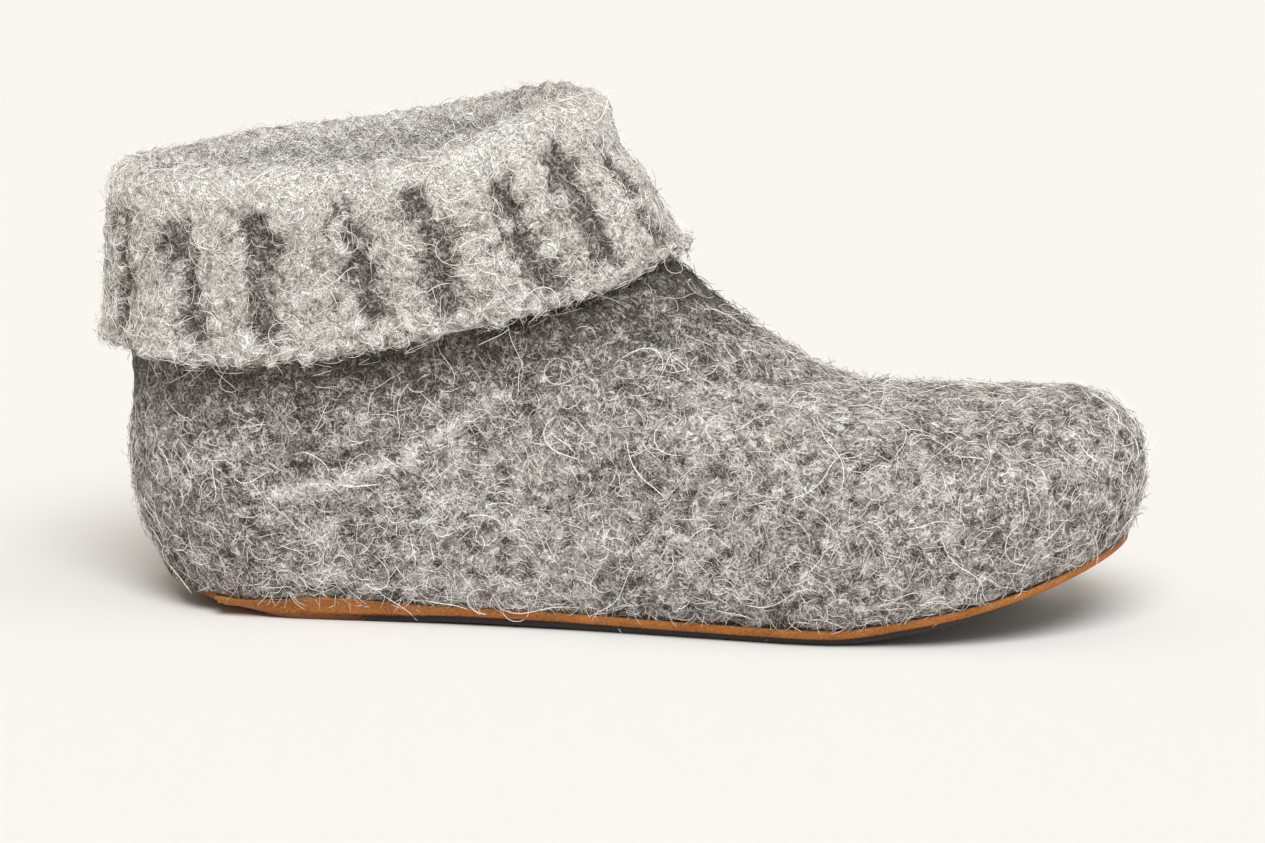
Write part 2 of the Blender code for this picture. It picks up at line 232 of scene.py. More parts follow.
def plan_half_width(x, side):
    """Half width of the foot at a length from the heel; side is -1 outside, +1 inside."""
    outer, inner = (smooth(x / FOOT_LENGTH, PLAN["along"], PLAN[name]) for name in ("outer", "inner"))
    return BALL_HALF_WIDTH * np.where(side < 0, outer, inner)


def plan_centre(x):
    """Sideways position of the foot's centre line at a length from the heel."""
    return BALL_HALF_WIDTH * smooth(x / FOOT_LENGTH, PLAN["along"], PLAN["centre"])


def under_share(x, z):
    """Share of full width at a height where the side rolls under the foot."""
    back_x, back_z = (STATIONS[name][HEEL_STATION:] for name in ("back_x", "back_z"))
    bottom_at_x = COLLAR_HEIGHT * smooth(x / FOOT_LENGTH, back_x, back_z)
    return rounding(z - bottom_at_x, UNDER_CORNER, UNDER_POWER)

# %% Any point of the felt's outer surface
LAST_STATION = len(STATIONS["back_x"]) - 1


def station(at, name):
    """Value of one column of the station table, between its rows."""
    return smooth(at, np.arange(LAST_STATION + 1), STATIONS[name])


def body_point(at, turn):
    """Point of the felt's outer surface at a station and a turn round it, 0 at the back or sole."""
    at, turn = np.broadcast_arrays(np.asarray(at, float), np.asarray(turn, float))
    back_x, front_x = (FOOT_LENGTH * station(at, name) for name in ("back_x", "front_x"))
    back_z, front_z = (COLLAR_HEIGHT * station(at, name) for name in ("back_z", "front_z"))
    share = (1 - np.cos(turn)) / 2
    side = np.where(np.sin(turn) >= 0, -1.0, 1.0)
    x = back_x + (front_x - back_x) * share
    z = back_z + (front_z - back_z) * share

    heights, backs = (STATIONS[name][HEEL_STATION::-1] for name in ("back_z", "back_x"))
    back_at_z = FOOT_LENGTH * smooth(z / COLLAR_HEIGHT, heights, backs)
    rise = ease((z / COLLAR_HEIGHT - FOOT_TOP) / (SHAFT_BOTTOM - FOOT_TOP))
    half = plan_half_width(x, side) * (1 - rise) + SHAFT_HALF_WIDTH * rise
    back_corner = HEEL_CORNER * (1 - rise) + SHAFT_CORNER * rise
    length = np.hypot(front_x - back_x, front_z - back_z)
    half = half * rounding(FOOT_LENGTH - x, TOE_CORNER, TOE_POWER) * rounding(x - back_at_z, back_corner)
    front_round = FOOT_LENGTH * station(at, "front_round")
    half = half * under_share(x, z) * rounding(length * (1 - share), front_round)
    centred = (share < 1e-9) | (share > 1 - 1e-9)
    y = plan_centre(x) + side * np.where(centred, 0.0, np.maximum(half, SEAT_GAP))
    return np.stack([x, y, np.maximum(z, felt_bottom(x))], axis=-1)


def hem_station(turn):
    """Station at which the cuff's hem hangs, at a turn round the shaft."""
    along = (1 - np.cos(turn)) / 2
    return smooth(along, HEM["along"], HEM["station"])

# %% Directions and lengths along the surface
def unit(vectors):
    """Vectors cut or stretched to length 1."""
    return vectors / np.maximum(np.linalg.norm(vectors, axis=-1, keepdims=True), 1e-12)


def change(grid, axis):
    """Difference between each point's two neighbours in a grid that closes round."""
    return np.roll(grid, -1, axis=axis) - np.roll(grid, 1, axis=axis)


def running_total(steps):
    """Total before each step and after the last."""
    return np.concatenate([[0.0], np.cumsum(steps)])


def body_frame(at, turn):
    """Point, outward normal and upward direction of the shaft's outer surface."""
    point = body_point(at, turn)
    along = body_point(at + 0.05, turn) - body_point(at - 0.05, turn)
    around = body_point(at, turn + 0.05) - body_point(at, turn - 0.05)
    return point, unit(np.cross(along, around)), -unit(along)

# %% [markdown]
# ## Camera, floor and light
# The boot was photographed from its outer side, a little from above, on a warm white table under
# wide soft lamps. A long lens a good step away keeps the perspective flat. Two broad suns and
# an even sky light the whole floor alike, so the background stays one pale tone to its far
# edge; a lamp near the boot would leave a bright patch instead.

# %% Camera at the photograph's angle
def place_object(name, data):
    """A new object of some data, in the scene."""
    made = bpy.data.objects.new(name, data)
    bpy.context.scene.collection.objects.link(made)
    return made


CAMERA_AZIMUTH = math.radians(4.88)
CAMERA_ELEVATION = math.radians(9.5)
CAMERA_ROLL = math.radians(0.82)
CAMERA_DISTANCE = 1.30
LENS_LENGTH = 139.6
CAMERA_AIM = Vector((0.0744, 0.0, 0.0503))
forward = Vector((-math.sin(CAMERA_AZIMUTH) * math.cos(CAMERA_ELEVATION),
                  math.cos(CAMERA_AZIMUTH) * math.cos(CAMERA_ELEVATION),
                  -math.sin(CAMERA_ELEVATION)))
level = Vector((math.cos(CAMERA_AZIMUTH), math.sin(CAMERA_AZIMUTH), 0.0))
above = level.cross(forward)
camera_right = level * math.cos(CAMERA_ROLL) + above * math.sin(CAMERA_ROLL)
camera_up = above * math.cos(CAMERA_ROLL) - level * math.sin(CAMERA_ROLL)
lens = bpy.data.cameras.new("studio_camera")
lens.sensor_width = 36.0
lens.lens = LENS_LENGTH
lens.clip_end = 60.0
camera = place_object("studio_camera", lens)
axes = Matrix((camera_right, camera_up, -forward)).transposed().to_4x4()
camera.matrix_world = Matrix.Translation(CAMERA_AIM - forward * CAMERA_DISTANCE) @ axes
bpy.context.scene.camera = camera
print("camera stands, m:", [round(v, 3) for v in camera.matrix_world.translation])

# %% Helpers that place nodes and feed them
def feed(tree, socket, value):
    """Give an input socket a link from another socket, or a plain value."""
    if isinstance(value, bpy.types.NodeSocket):
        tree.links.new(value, socket)
    else:
        socket.default_value = value


def add_node(tree, kind, inputs=None, **settings):
    """A node of one kind, with its settings and what feeds its inputs."""
    made = tree.nodes.new(kind)
    for name, value in settings.items():
        setattr(made, name, value)
    for socket, value in (inputs or {}).items():
        feed(tree, made.inputs[socket], value)
    return made


def maths(tree, operation, *values, clamp=False):
    """Output of one maths node on sockets or numbers."""
    return add_node(tree, "ShaderNodeMath", dict(enumerate(values)),
                    operation=operation, use_clamp=clamp).outputs[0]


def add_sockets(group, in_out, kind, *titles):
    """Named sockets of one kind on a node group; gives their identifiers."""
    return [group.interface.new_socket(title, in_out=in_out, socket_type="NodeSocket" + kind).identifier
            for title in titles]


def object_place(tree):
    """Output with the place of each point in the object's own space."""
    return add_node(tree, "ShaderNodeTexCoord").outputs["Object"]


def colour_ramp(tree, level, stops):
    """Colour of a level on a ramp through stops of place and colour."""
    made = add_node(tree, "ShaderNodeValToRGB", {"Fac": level})
    elements = made.color_ramp.elements
    elements.remove(elements[0])
    for k, (place, colour) in enumerate(stops):
        stop = elements[0] if k == 0 else elements.new(place)
        stop.position = place
        stop.color = (*colour, 1.0)
    return made.outputs["Color"]


def blank_material(name, finish):
    """A material with only its Principled shader and output, and values for the shader."""
    material = bpy.data.materials.new(name)
    material.use_nodes = True
    shader = material.node_tree.nodes["Principled BSDF"]
    for title, value in finish.items():
        shader.inputs[title].default_value = value
    return material, material.node_tree, shader


def colour_and_bump(tree, shader, colour, strength, distance, height):
    """Give a shader its colour, and a bump that raises its surface."""
    raised = add_node(tree, "ShaderNodeBump", {"Strength": strength, "Distance": distance,
                                               "Height": height})
    feed(tree, shader.inputs["Base Color"], colour)
    feed(tree, shader.inputs["Normal"], raised.outputs["Normal"])

# %% Floor
FLOOR_COLOUR = (0.843, 0.837, 0.818)
CLOUD_SHADE = 0.992           # of the paper's slightly darker clouds
FLOOR_HALF = 9.0
floor_mesh = bpy.data.meshes.new("floor")
floor_corners = [(x * FLOOR_HALF, y * FLOOR_HALF, 0) for x, y in ((-1, -1), (1, -1), (1, 1), (-1, 1))]
floor_mesh.from_pydata(floor_corners, [], [(0, 1, 2, 3)])
floor_material, floor_tree, floor_shader = blank_material(
    "floor_paper", {"Roughness": 0.9, "Specular IOR Level": 0.1})
paper_cloud = add_node(floor_tree, "ShaderNodeTexNoise",
                       {"Vector": object_place(floor_tree), "Scale": 1.5, "Detail": 2.0})
paper_tone = colour_ramp(floor_tree, paper_cloud.outputs["Fac"],
                         ((0.0, [CLOUD_SHADE * part for part in FLOOR_COLOUR]), (1.0, FLOOR_COLOUR)))
feed(floor_tree, floor_shader.inputs["Base Color"], paper_tone)
floor_mesh.materials.append(floor_material)
floor = place_object("floor", floor_mesh)

# %% Sky and suns
SKY_COLOUR = (1.0, 0.87, 0.72)
SKY_STRENGTH = 0.38
SUN_COLOUR = (0.954, 0.986, 1.0)
world = bpy.data.worlds.new("studio")
world.use_nodes = True
background = world.node_tree.nodes["Background"]
background.inputs["Color"].default_value = (*SKY_COLOUR, 1.0)
background.inputs["Strength"].default_value = SKY_STRENGTH
bpy.context.scene.world = world


def soft_sun(name, comes_from, energy, angle):
    """Broad sun that shines from a direction."""
    lamp = bpy.data.lights.new(name, "SUN")
    lamp.energy = energy
    lamp.color = SUN_COLOUR
    lamp.angle = math.radians(angle)
    sun = place_object(name, lamp)
    sun.rotation_mode = "QUATERNION"
    sun.rotation_quaternion = Vector(comes_from).to_track_quat("Z", "Y")


soft_sun("soft_front", (0.12, -0.90, 1.0), 2.98, 34.0)
soft_sun("soft_toe_side", (1.0, -0.30, 0.75), 0.60, 60.0)
bpy.context.scene.view_settings.view_transform = "Standard"
print("stage is set: floor", 2 * FLOOR_HALF, "m wide")

# %% [markdown]
# ## Randomness that never changes
# Felt looks right only when nothing repeats, but a script must give the same boot each run. A
# short table of fixed random numbers, picked by grid cell, gives both. From it come a smooth
# noise for swells, and scattered cells for the shrunken stitches with pits between them.

# %% Fixed noise in space
RANDOM_TABLE = np.random.default_rng(11).random(4096)


def cell_value(cell, salt):
    """Fixed random number from 0 to 1 for a grid cell."""
    mixed = (cell[..., 0] * 73856093) ^ (cell[..., 1] * 19349663) ^ (cell[..., 2] * 83492791)
    return RANDOM_TABLE[((mixed >> 3) + salt * 977) & 4095]


def soft_noise(points, size, salt):
    """Smooth noise from -1 to 1 whose swells are about one size wide."""
    place = points / size
    cell = np.floor(place).astype(np.int64)
    part = ease(place - cell)
    total = 0.0
    for corner in np.ndindex(2, 2, 2):
        near = np.array(corner)
        weight = np.prod(np.where(near == 1, part, 1 - part), axis=-1)
        total = total + weight * cell_value(cell + near, salt)
    return 2 * total - 1


def stitch_cells(points, pitch, salt):
    """Distances in pitches to the nearest two scattered stitches, the nearest one's number and way."""
    place = points / pitch
    cell = np.floor(place).astype(np.int64)
    nearest = np.full(points.shape[:-1], 9.0)
    second = nearest.copy()
    number = np.zeros(points.shape[:-1])
    way = np.zeros(points.shape)
    for shift in np.ndindex(3, 3, 3):
        neighbour = cell + np.array(shift) - 1
        jitter = np.stack([cell_value(neighbour, salt + k) for k in range(3)], axis=-1)
        towards = neighbour + jitter - place
        distance = np.linalg.norm(towards, axis=-1)
        closer = distance < nearest
        second = np.where(closer, nearest, np.minimum(second, distance))
        number = np.where(closer, cell_value(neighbour, salt + 3), number)
        way = np.where(closer[..., None], towards * pitch, way)
        nearest = np.minimum(nearest, distance)
    return nearest, second, number, way

# %% Helpers that turn rings of points into a closed mesh
def rings_to_faces(rows, count, first=0):
    """Quads of a grid whose rings close round; rows gives the vertex rows in order."""
    around = np.arange(count)
    faces = []
    for upper_row, lower_row in zip(rows[:-1], rows[1:]):
        a = first + upper_row * count + around
        b = first + lower_row * count + around
        faces.append(np.stack([a, b, np.roll(b, -1), np.roll(a, -1)], axis=-1))
    return np.concatenate(faces)


def make_piece(name, points, faces, marks, material):
    """Mesh object from model points, with marks stored as attributes of its points."""
    mesh = bpy.data.meshes.new(name)
    placed = np.asarray(points) - np.array([HEEL_REST_X, 0.0, 0.0])
    mesh.from_pydata(placed.tolist(), [], [tuple(face) for face in faces])
    for mark, values in marks.items():
        layer = mesh.attributes.new(mark, "FLOAT", "POINT")
        layer.data.foreach_set("value", np.asarray(values, np.float32))
    mesh.materials.append(material)
    mesh.shade_smooth()
    return place_object(name, mesh)


def triangle_count(piece):
    """Triangles of a mesh piece."""
    return sum(len(face.vertices) - 2 for face in piece.data.polygons)


def inside_volume(piece):
    """Signed volume in cubic centimetres: positive when the faces point outwards."""
    mesh = piece.data
    mesh.calc_loop_triangles()
    corners = np.empty(len(mesh.vertices) * 3)
    mesh.vertices.foreach_get("co", corners)
    corners = corners.reshape(-1, 3)
    index = np.empty(len(mesh.loop_triangles) * 3, np.int32)
    mesh.loop_triangles.foreach_get("vertices", index)
    a, b, c = np.moveaxis(corners[index.reshape(-1, 3)], 1, 0)
    return float(np.einsum("ij,ij->i", a, np.cross(b, c)).sum() / 6 * 1e6)


def tell(piece):
    """Print a piece's triangles and volume."""
    print(piece.name + ":", triangle_count(piece), "triangles,", round(inside_volume(piece), 2), "cm3")

# %% [markdown]
# ## What wool looks like up close
# Undyed grey wool is a melange: nearly white, grey and brown-black hairs carded together. On the
# surface they lie as a web of tiny curls. One could paint every hair with an image; here a node
# group draws them. A band of smooth noise close to its middle value is a thin curly line, so a
# few such bands at different sizes make a web of hairs, light ones and dark ones. Felt, rib wool
# and the insole share the group, each with its own sizes.

# %% Node group: web of wool hairs
wool_web = bpy.data.node_groups.new("wool_web", "ShaderNodeTree")
add_sockets(wool_web, "INPUT", "Vector", "Position")
add_sockets(wool_web, "INPUT", "Float", "Hair Curl", "Hair Width", "Blotch")
add_sockets(wool_web, "OUTPUT", "Float", "Light Hair", "Dark Hair", "Blotch", "Height")
web_in = add_node(wool_web, "NodeGroupInput").outputs


def hair_line(factor, shift, width_factor):
    """Thin curly lines where a noise passes its middle value."""
    moved = add_node(wool_web, "ShaderNodeVectorMath", {0: web_in["Position"], 1: shift}, operation="ADD")
    noise = add_node(wool_web, "ShaderNodeTexNoise", {
        "Vector": moved.outputs[0], "Scale": maths(wool_web, "DIVIDE", factor, web_in["Hair Curl"]),
        "Detail": 1.5, "Roughness": 0.6, "Distortion": 0.9})
    off_middle = maths(wool_web, "ABSOLUTE", maths(wool_web, "SUBTRACT", noise.outputs["Fac"], 0.5))
    width = maths(wool_web, "MULTIPLY", web_in["Hair Width"], width_factor)
    return add_node(wool_web, "ShaderNodeMapRange", {
        "Value": off_middle, "From Min": 0.0, "From Max": width, "To Min": 1.0, "To Max": 0.0},
        interpolation_type="SMOOTHSTEP").outputs[0]


light_hair = maths(wool_web, "MAXIMUM", hair_line(1.0, (0.0, 0.0, 0.0), 1.0),
                   hair_line(1.7, (0.31, 0.17, 0.05), 0.6))
light_hair = maths(wool_web, "MAXIMUM", light_hair, hair_line(0.6, (0.11, 0.43, 0.29), 1.5))
dark_hair = maths(wool_web, "MAXIMUM", hair_line(1.2, (0.71, 0.37, 0.13), 0.9),
                  hair_line(0.7, (0.23, 0.61, 0.47), 1.4))
blotch = add_node(wool_web, "ShaderNodeTexNoise", {
    "Vector": web_in["Position"], "Scale": maths(wool_web, "DIVIDE", 1.0, web_in["Blotch"]),
    "Detail": 4.0, "Roughness": 0.65}).outputs["Fac"]
web_height = maths(wool_web, "ADD", maths(wool_web, "MULTIPLY", light_hair, 0.6), blotch)
web_height = maths(wool_web, "SUBTRACT", web_height, maths(wool_web, "MULTIPLY", dark_hair, 0.3))
add_node(wool_web, "NodeGroupOutput", {"Light Hair": light_hair, "Dark Hair": dark_hair,
                                       "Blotch": blotch, "Height": web_height})
print("wool web:", len(wool_web.nodes), "nodes")

# %% One recipe for every woollen surface
HAIR_WIDTH = 0.040            # of the drawn hairs, as a band of the noise's values
WOOL_FINISH = {"Roughness": 0.92, "Sheen Weight": 0.15, "Sheen Roughness": 0.6, "Specular IOR Level": 0.2}


def woollen(name, shades, light, dark, curl, blotch_size, bump):
    """Wool whose shade follows the mark on its surface, with hairs drawn over it."""
    material, tree, shader = blank_material(name, WOOL_FINISH)
    web = add_node(tree, "ShaderNodeGroup", {"Position": object_place(tree), "Hair Curl": curl,
                                             "Hair Width": HAIR_WIDTH, "Blotch": blotch_size},
                   node_tree=wool_web).outputs
    relief = add_node(tree, "ShaderNodeAttribute", attribute_name="shade").outputs["Fac"]
    stirred = maths(tree, "MULTIPLY_ADD", web["Blotch"], 1.3, -0.65)
    colour = colour_ramp(tree, maths(tree, "ADD", relief, stirred, clamp=True), shades)
    lit = maths(tree, "MULTIPLY_ADD", relief, 0.55, 0.54, clamp=True)
    # The light hairs fade where the shade mark is dark, in the pits and the painted shade. Sockets 6 and 7
    # of a mix are its colours.
    for title, tint, amount in (("Dark Hair", dark, 0.78), ("Light Hair", light, lit)):
        share = maths(tree, "MULTIPLY", web[title], amount)
        colour = add_node(tree, "ShaderNodeMix", {0: share, 6: colour, 7: (*tint, 1.0)},
                          data_type="RGBA").outputs[2]
    colour_and_bump(tree, shader, colour, 0.8, bump, web["Height"])
    return material

# %% Felt and rib wool
felt_shades = ((0.0, (0.052, 0.034, 0.024)), (0.30, (0.165, 0.133, 0.113)),
               (0.60, (0.430, 0.390, 0.360)), (1.0, (0.86, 0.82, 0.79)))
rib_shades = ((0.0, (0.064, 0.042, 0.029)), (0.30, (0.220, 0.174, 0.142)),
              (0.55, (0.640, 0.590, 0.535)), (1.0, (0.96, 0.92, 0.87)))
felted_wool = woollen("felted_wool", felt_shades, (0.95, 0.92, 0.89), (0.040, 0.027, 0.019),
                      1.7 * MM, 3.0 * MM, 1.0 * MM)
rib_wool = woollen("rib_wool", rib_shades, (0.97, 0.94, 0.90), (0.070, 0.048, 0.035),
                   1.7 * MM, 3.0 * MM, 1.1 * MM)
print("woollen materials:", felted_wool.name, rib_wool.name)

# %% [markdown]
# ## The felted foot
# The foot is one knitted sock, shrunk until its stitches became blobs with dark pits between. It
# is closed underneath and open at the ankle. A sculptor would brush the pits in by hand; here the
# surface is laid in rings of even spacing, and each point is moved along its normal by a height
# that adds swells, stitches and pits. The same heights are kept as a mark, so that the material
# darkens the pits with painted shade. A slanting ridge, where the knitter picked up stitches for
# the heel, runs up each side.

# %% Rings and turns of even spacing
RING_COUNT = 262
TURN_COUNT = 244
INNER_STEP = 12               # the unseen inner wall keeps every twelfth ring


def even_stations(first, last, count):
    """Stations whose rings lie about equally far apart."""
    fine = np.linspace(first, last, 900)
    rings = body_point(fine[:, None], np.linspace(0, 2 * math.pi, 25)[None, :-1])
    steps = np.linalg.norm(np.diff(rings, axis=0), axis=-1).mean(axis=1)
    length = running_total(steps)
    return np.interp(np.linspace(0.0, length[-1], count), length, fine)


def even_turns(stations, count):
    """Turns that part each ring into equal lengths."""
    fine = np.linspace(0, 2 * math.pi, 1201)
    rings = body_point(stations[:, None], fine[None])
    steps = np.linalg.norm(np.diff(rings, axis=1), axis=-1)
    turns = []
    for ring in steps:
        length = running_total(ring)
        turns.append(np.interp(np.linspace(0.0, length[-1], count + 1)[:-1], length, fine))
    return np.array(turns)


def surface_normals(grid):
    """Outward unit normals of a grid of rings that close round."""
    return unit(np.cross(np.gradient(grid, axis=0), change(grid, 1)))


foot_stations = even_stations(JOINT_STATION + 0.04, 19.4, RING_COUNT)
foot_turns = even_turns(foot_stations, TURN_COUNT)
foot_grid = body_point(foot_stations[:, None], foot_turns)
toe_tip = body_point(LAST_STATION, 0.0)
dome = [toe_tip + (foot_grid[-1] - toe_tip) * np.array([share ** 2, share, share])
        for share in (0.85, 0.70, 0.55, 0.40, 0.26, 0.13)]
foot_grid = np.concatenate([foot_grid, np.array(dome)])
foot_normals = surface_normals(foot_grid)
print("felt rings:", foot_grid.shape[:2])

# %% Shrunken stitches, pits and swells
# Ends of the ridge's pieces: length from the heel and height, in mm.
GUSSET = MM * np.array([
    (44.0, 34.1),
    (62.5, 39.1),
    (81.5, 46.4),
    (91.0, 53.6),
    (97.0, 58.6),
    (104.0, 60.6),
])


def ridge_share(points, line, width):
    """1 on a line drawn on both sides of the boot, falling off over a width."""
    flat = points[..., [0, 2]]
    best = np.full(flat.shape[:-1], 1.0)
    for start, end in zip(line[:-1], line[1:]):
        span = end - start
        share = np.clip(((flat - start) @ span) / (span @ span), 0.0, 1.0)
        best = np.minimum(best, np.linalg.norm(flat - start - share[..., None] * span, axis=-1))
    return np.exp(-(best / width) ** 2)


PIT_PITCH = 0.0042            # between the pits of the shrunken stitches
BLOB_PITCH = 0.0044           # between their blobs
RIDGE_WIDTH = 0.0026
TROUGH_WIDTH = 0.0075         # of the hollow on both sides of the ridge


def felt_relief(points):
    """Height of the felt's relief in metres, and its shade from 0, pit, to 1, blob."""
    bend = np.stack([soft_noise(points, 0.006, salt) for salt in (31, 32, 33)], axis=-1)
    bent = points + 0.0010 * bend
    pit_near, _, pit_number, _ = stitch_cells(bent, PIT_PITCH, 1)
    blob_near, _, blob_number, _ = stitch_cells(bent, BLOB_PITCH, 9)
    pit = ease(1.30 - pit_near / 0.42) * ease(pit_number * 2.2 - 0.20)
    blob = ease(1.2 - blob_near / 0.50) * ease(blob_number * 2.2 - 0.60)
    fine = soft_noise(points, 0.0015, 40)
    swell = soft_noise(points, 0.011, 41)
    slow = soft_noise(points, 0.034, 42)
    ridge = ridge_share(points, GUSSET, RIDGE_WIDTH)
    trough = ridge_share(points, GUSSET, TROUGH_WIDTH) - ridge
    height = MM * (0.55 * blob - 0.95 * pit + 0.18 * fine + 0.30 * swell + 0.40 * slow
                   + 0.9 * ridge - 0.35 * trough - 0.45)
    # Painted shade: the shade darkens the pits and the trough beside the ridge, and it lightens the raised
    # blobs and the ridge.
    shade = (0.52 + 0.48 * blob - 0.70 * pit + 0.14 * fine + 0.13 * swell + 0.05 * slow
             + (0.46 + 0.20 * blob) * ridge - 0.26 * trough)
    return height, shade


# HEM_SHADOW and FLOOR_SHADOW size shade that is painted into the felt's colour.
HEM_SHADOW = 14 * MM          # depth of the dark band under the hem
FLOOR_SHADOW = 7 * MM         # height of the dark band above the sole
SOLE_GRIP = 2.2 * MM          # height over which the relief sets in above the sole
relief, foot_shade = felt_relief(foot_grid)
hem_turns = np.concatenate([foot_turns, np.repeat(foot_turns[-1:], len(dome), axis=0)])
hem_drop = body_point(hem_station(hem_turns), hem_turns)[..., 2] - foot_grid[..., 2]
under_hem = np.exp(-(np.clip(hem_drop, 0.0, 1.0) / HEM_SHADOW) ** 2)
above_bottom = foot_grid[..., 2] - felt_bottom(foot_grid[..., 0])
near_floor = 1 - ease(above_bottom / FLOOR_SHADOW)
at_heel = 1 - ease((foot_grid[..., 0] / MM - 25.0) / 60.0)
# Painted shade: a shadow under the hem, a darker band just above the sole, and a darker heel side away from
# the light.
foot_shade = foot_shade - 0.95 * under_hem - 0.08 * near_floor - 0.13 * at_heel - 0.09
foot_shade = np.clip(foot_shade, -0.45, 1.0)
clear_of_sole = ease(above_bottom / SOLE_GRIP)
rows = np.arange(foot_grid.shape[0])[:, None]
clear_of_cuff = 0.25 + 0.75 * ease((rows - 6) / 24.0)
relief = relief * clear_of_sole * clear_of_cuff
foot_outside = foot_grid + foot_normals * relief[..., None]
print("felt relief, mm:", round(relief.min() / MM, 2), "to", round(relief.max() / MM, 2))

# %% The sock with its inner wall
def smoothed(grid, reach):
    """Each point's average with its neighbours round the ring and along it."""
    total = sum(np.roll(grid, k, axis=1) for k in range(-reach, reach + 1)) / (2 * reach + 1)
    padded = np.pad(total, ((reach, reach), (0, 0), (0, 0)), mode="edge")
    return sum(padded[k:k + len(grid)] for k in range(2 * reach + 1)) / (2 * reach + 1)


soft_normals = unit(smoothed(foot_normals, 6))
inner_rows = np.unique(np.append(np.arange(0, foot_grid.shape[0], INNER_STEP), foot_grid.shape[0] - 1))
foot_inside = (foot_grid - FELT_WALL * soft_normals)[inner_rows]
outer_total = foot_outside.shape[0] * TURN_COUNT
foot_points = np.concatenate([foot_outside.reshape(-1, 3), foot_inside.reshape(-1, 3),
                              [toe_tip, toe_tip - np.array([FELT_WALL, 0.0, 0.0])]])
outer_faces = rings_to_faces(np.arange(foot_outside.shape[0]), TURN_COUNT)
inner_faces = rings_to_faces(np.arange(len(inner_rows)), TURN_COUNT, outer_total)[:, ::-1]
around = np.arange(TURN_COUNT)
after = np.roll(around, -1)
rim_faces = np.stack([around, after, outer_total + after, outer_total + around], axis=-1)
outer_last = (foot_outside.shape[0] - 1) * TURN_COUNT
inner_last = outer_total + (len(inner_rows) - 1) * TURN_COUNT
tip_index = len(foot_points) - 2
outer_tip, inner_tip = ([(last + k, tip, last + (k + 1) % TURN_COUNT)[::way] for k in range(TURN_COUNT)]
                        for last, tip, way in ((outer_last, tip_index, 1), (inner_last, tip_index + 1, -1)))
foot_faces = outer_faces.tolist() + inner_faces.tolist() + rim_faces.tolist() + outer_tip + inner_tip
inside_shade = np.clip(felt_relief(foot_inside)[1], 0.0, 1.0)
foot_shades = np.concatenate([foot_shade.ravel(), inside_shade.ravel(), [0.5, 0.5]])

# %% Where hairs stand on the felt
HEM_HIDES_ROWS = 26
hairy = clear_of_sole * ease((rows - HEM_HIDES_ROWS) / 6.0)
hairy = hairy * (1.0 + 0.7 * (1 - ease(above_bottom / (9 * MM))))
foot_hairy = np.concatenate([hairy.ravel(), np.zeros(len(foot_points) - outer_total)])
foot_marks = {"shade": foot_shades, "hairy": foot_hairy}
felt_upper = make_piece("felt_upper", foot_points, foot_faces, foot_marks, felted_wool)
tell(felt_upper)

# %% [markdown]
# ## The turned-down cuff
# The cuff is the same sock carried on in rib stitch, turned down over itself, so its section is a
# long hairpin with a rolled fold on top. Ribs push the wool into light plump tufts, and the purl
# lines between them sink and look brown. The ribs could be cut with a wave on a ready mesh; here
# each ring's height already holds the valleys, because their place, width and start all wander.

# %% Table of the fold
# Fold of the cuff: share of the way from the back to the front, and the station it sinks to
# on the outer and the inner side.
FOLD = table(("along", "outer", "inner"), [
    (0.00, 0.10, 0.10),
    (0.07, 0.25, 0.12),
    (0.25, 0.38, 0.15),
    (0.44, 0.66, 0.25),
    (0.64, 0.75, 0.27),
    (0.76, 0.62, 0.22),
    (0.85, 0.45, 0.15),
    (0.92, 0.25, 0.12),
    (1.00, 0.30, 0.30),
])

# Valleys between the ribs: degrees round the shaft from its back over the outer side, and the
# shares of the way from the fold to the hem between which each one shows.
VALLEYS = table(("turn", "start", "end"), [
    (25.0, 0.14, 0.95),
    (49.5, 0.22, 0.93),
    (69.0, 0.14, 0.92),
    (90.0, 0.05, 0.88),
    (107.3, 0.04, 0.92),
    (125.8, 0.06, 0.94),
    (145.0, 0.08, 0.95),
    (162.0, 0.12, 0.90),
    (184.0, 0.10, 0.92),
    (206.5, 0.14, 0.90),
    (229.0, 0.06, 0.94),
    (251.0, 0.12, 0.92),
    (273.5, 0.08, 0.90),
    (296.0, 0.16, 0.93),
    (318.0, 0.08, 0.92),
    (340.5, 0.12, 0.95),
    (363.0, 0.10, 0.93),
])

# %% Section of the cuff, ring by ring
STEPS_PER_RIB = 26
CUFF_COUNT = RIB_COUNT * STEPS_PER_RIB
VALLEY_WIDTH = 0.165          # share of the rib pitch
cuff_turns = np.arange(CUFF_COUNT) * 2 * math.pi / CUFF_COUNT
valley_turns = np.radians(VALLEYS["turn"])
cuff_along = (1 - np.cos(cuff_turns)) / 2
hem = hem_station(cuff_turns)
fold_along = FOLD["along"]
fold = np.where(np.sin(cuff_turns) >= 0,
                smooth(cuff_along, fold_along, FOLD["outer"]),
                smooth(cuff_along, fold_along, FOLD["inner"]))
outside = FOLD_SLIT + CUFF_LEAF


def cuff_layer(at, offset, lift=0.0):
    """Ring of the cuff at a station, an offset from the shaft's surface and a lift along it."""
    point, normal, upward = body_frame(at, cuff_turns)
    return point + normal * offset + upward * lift


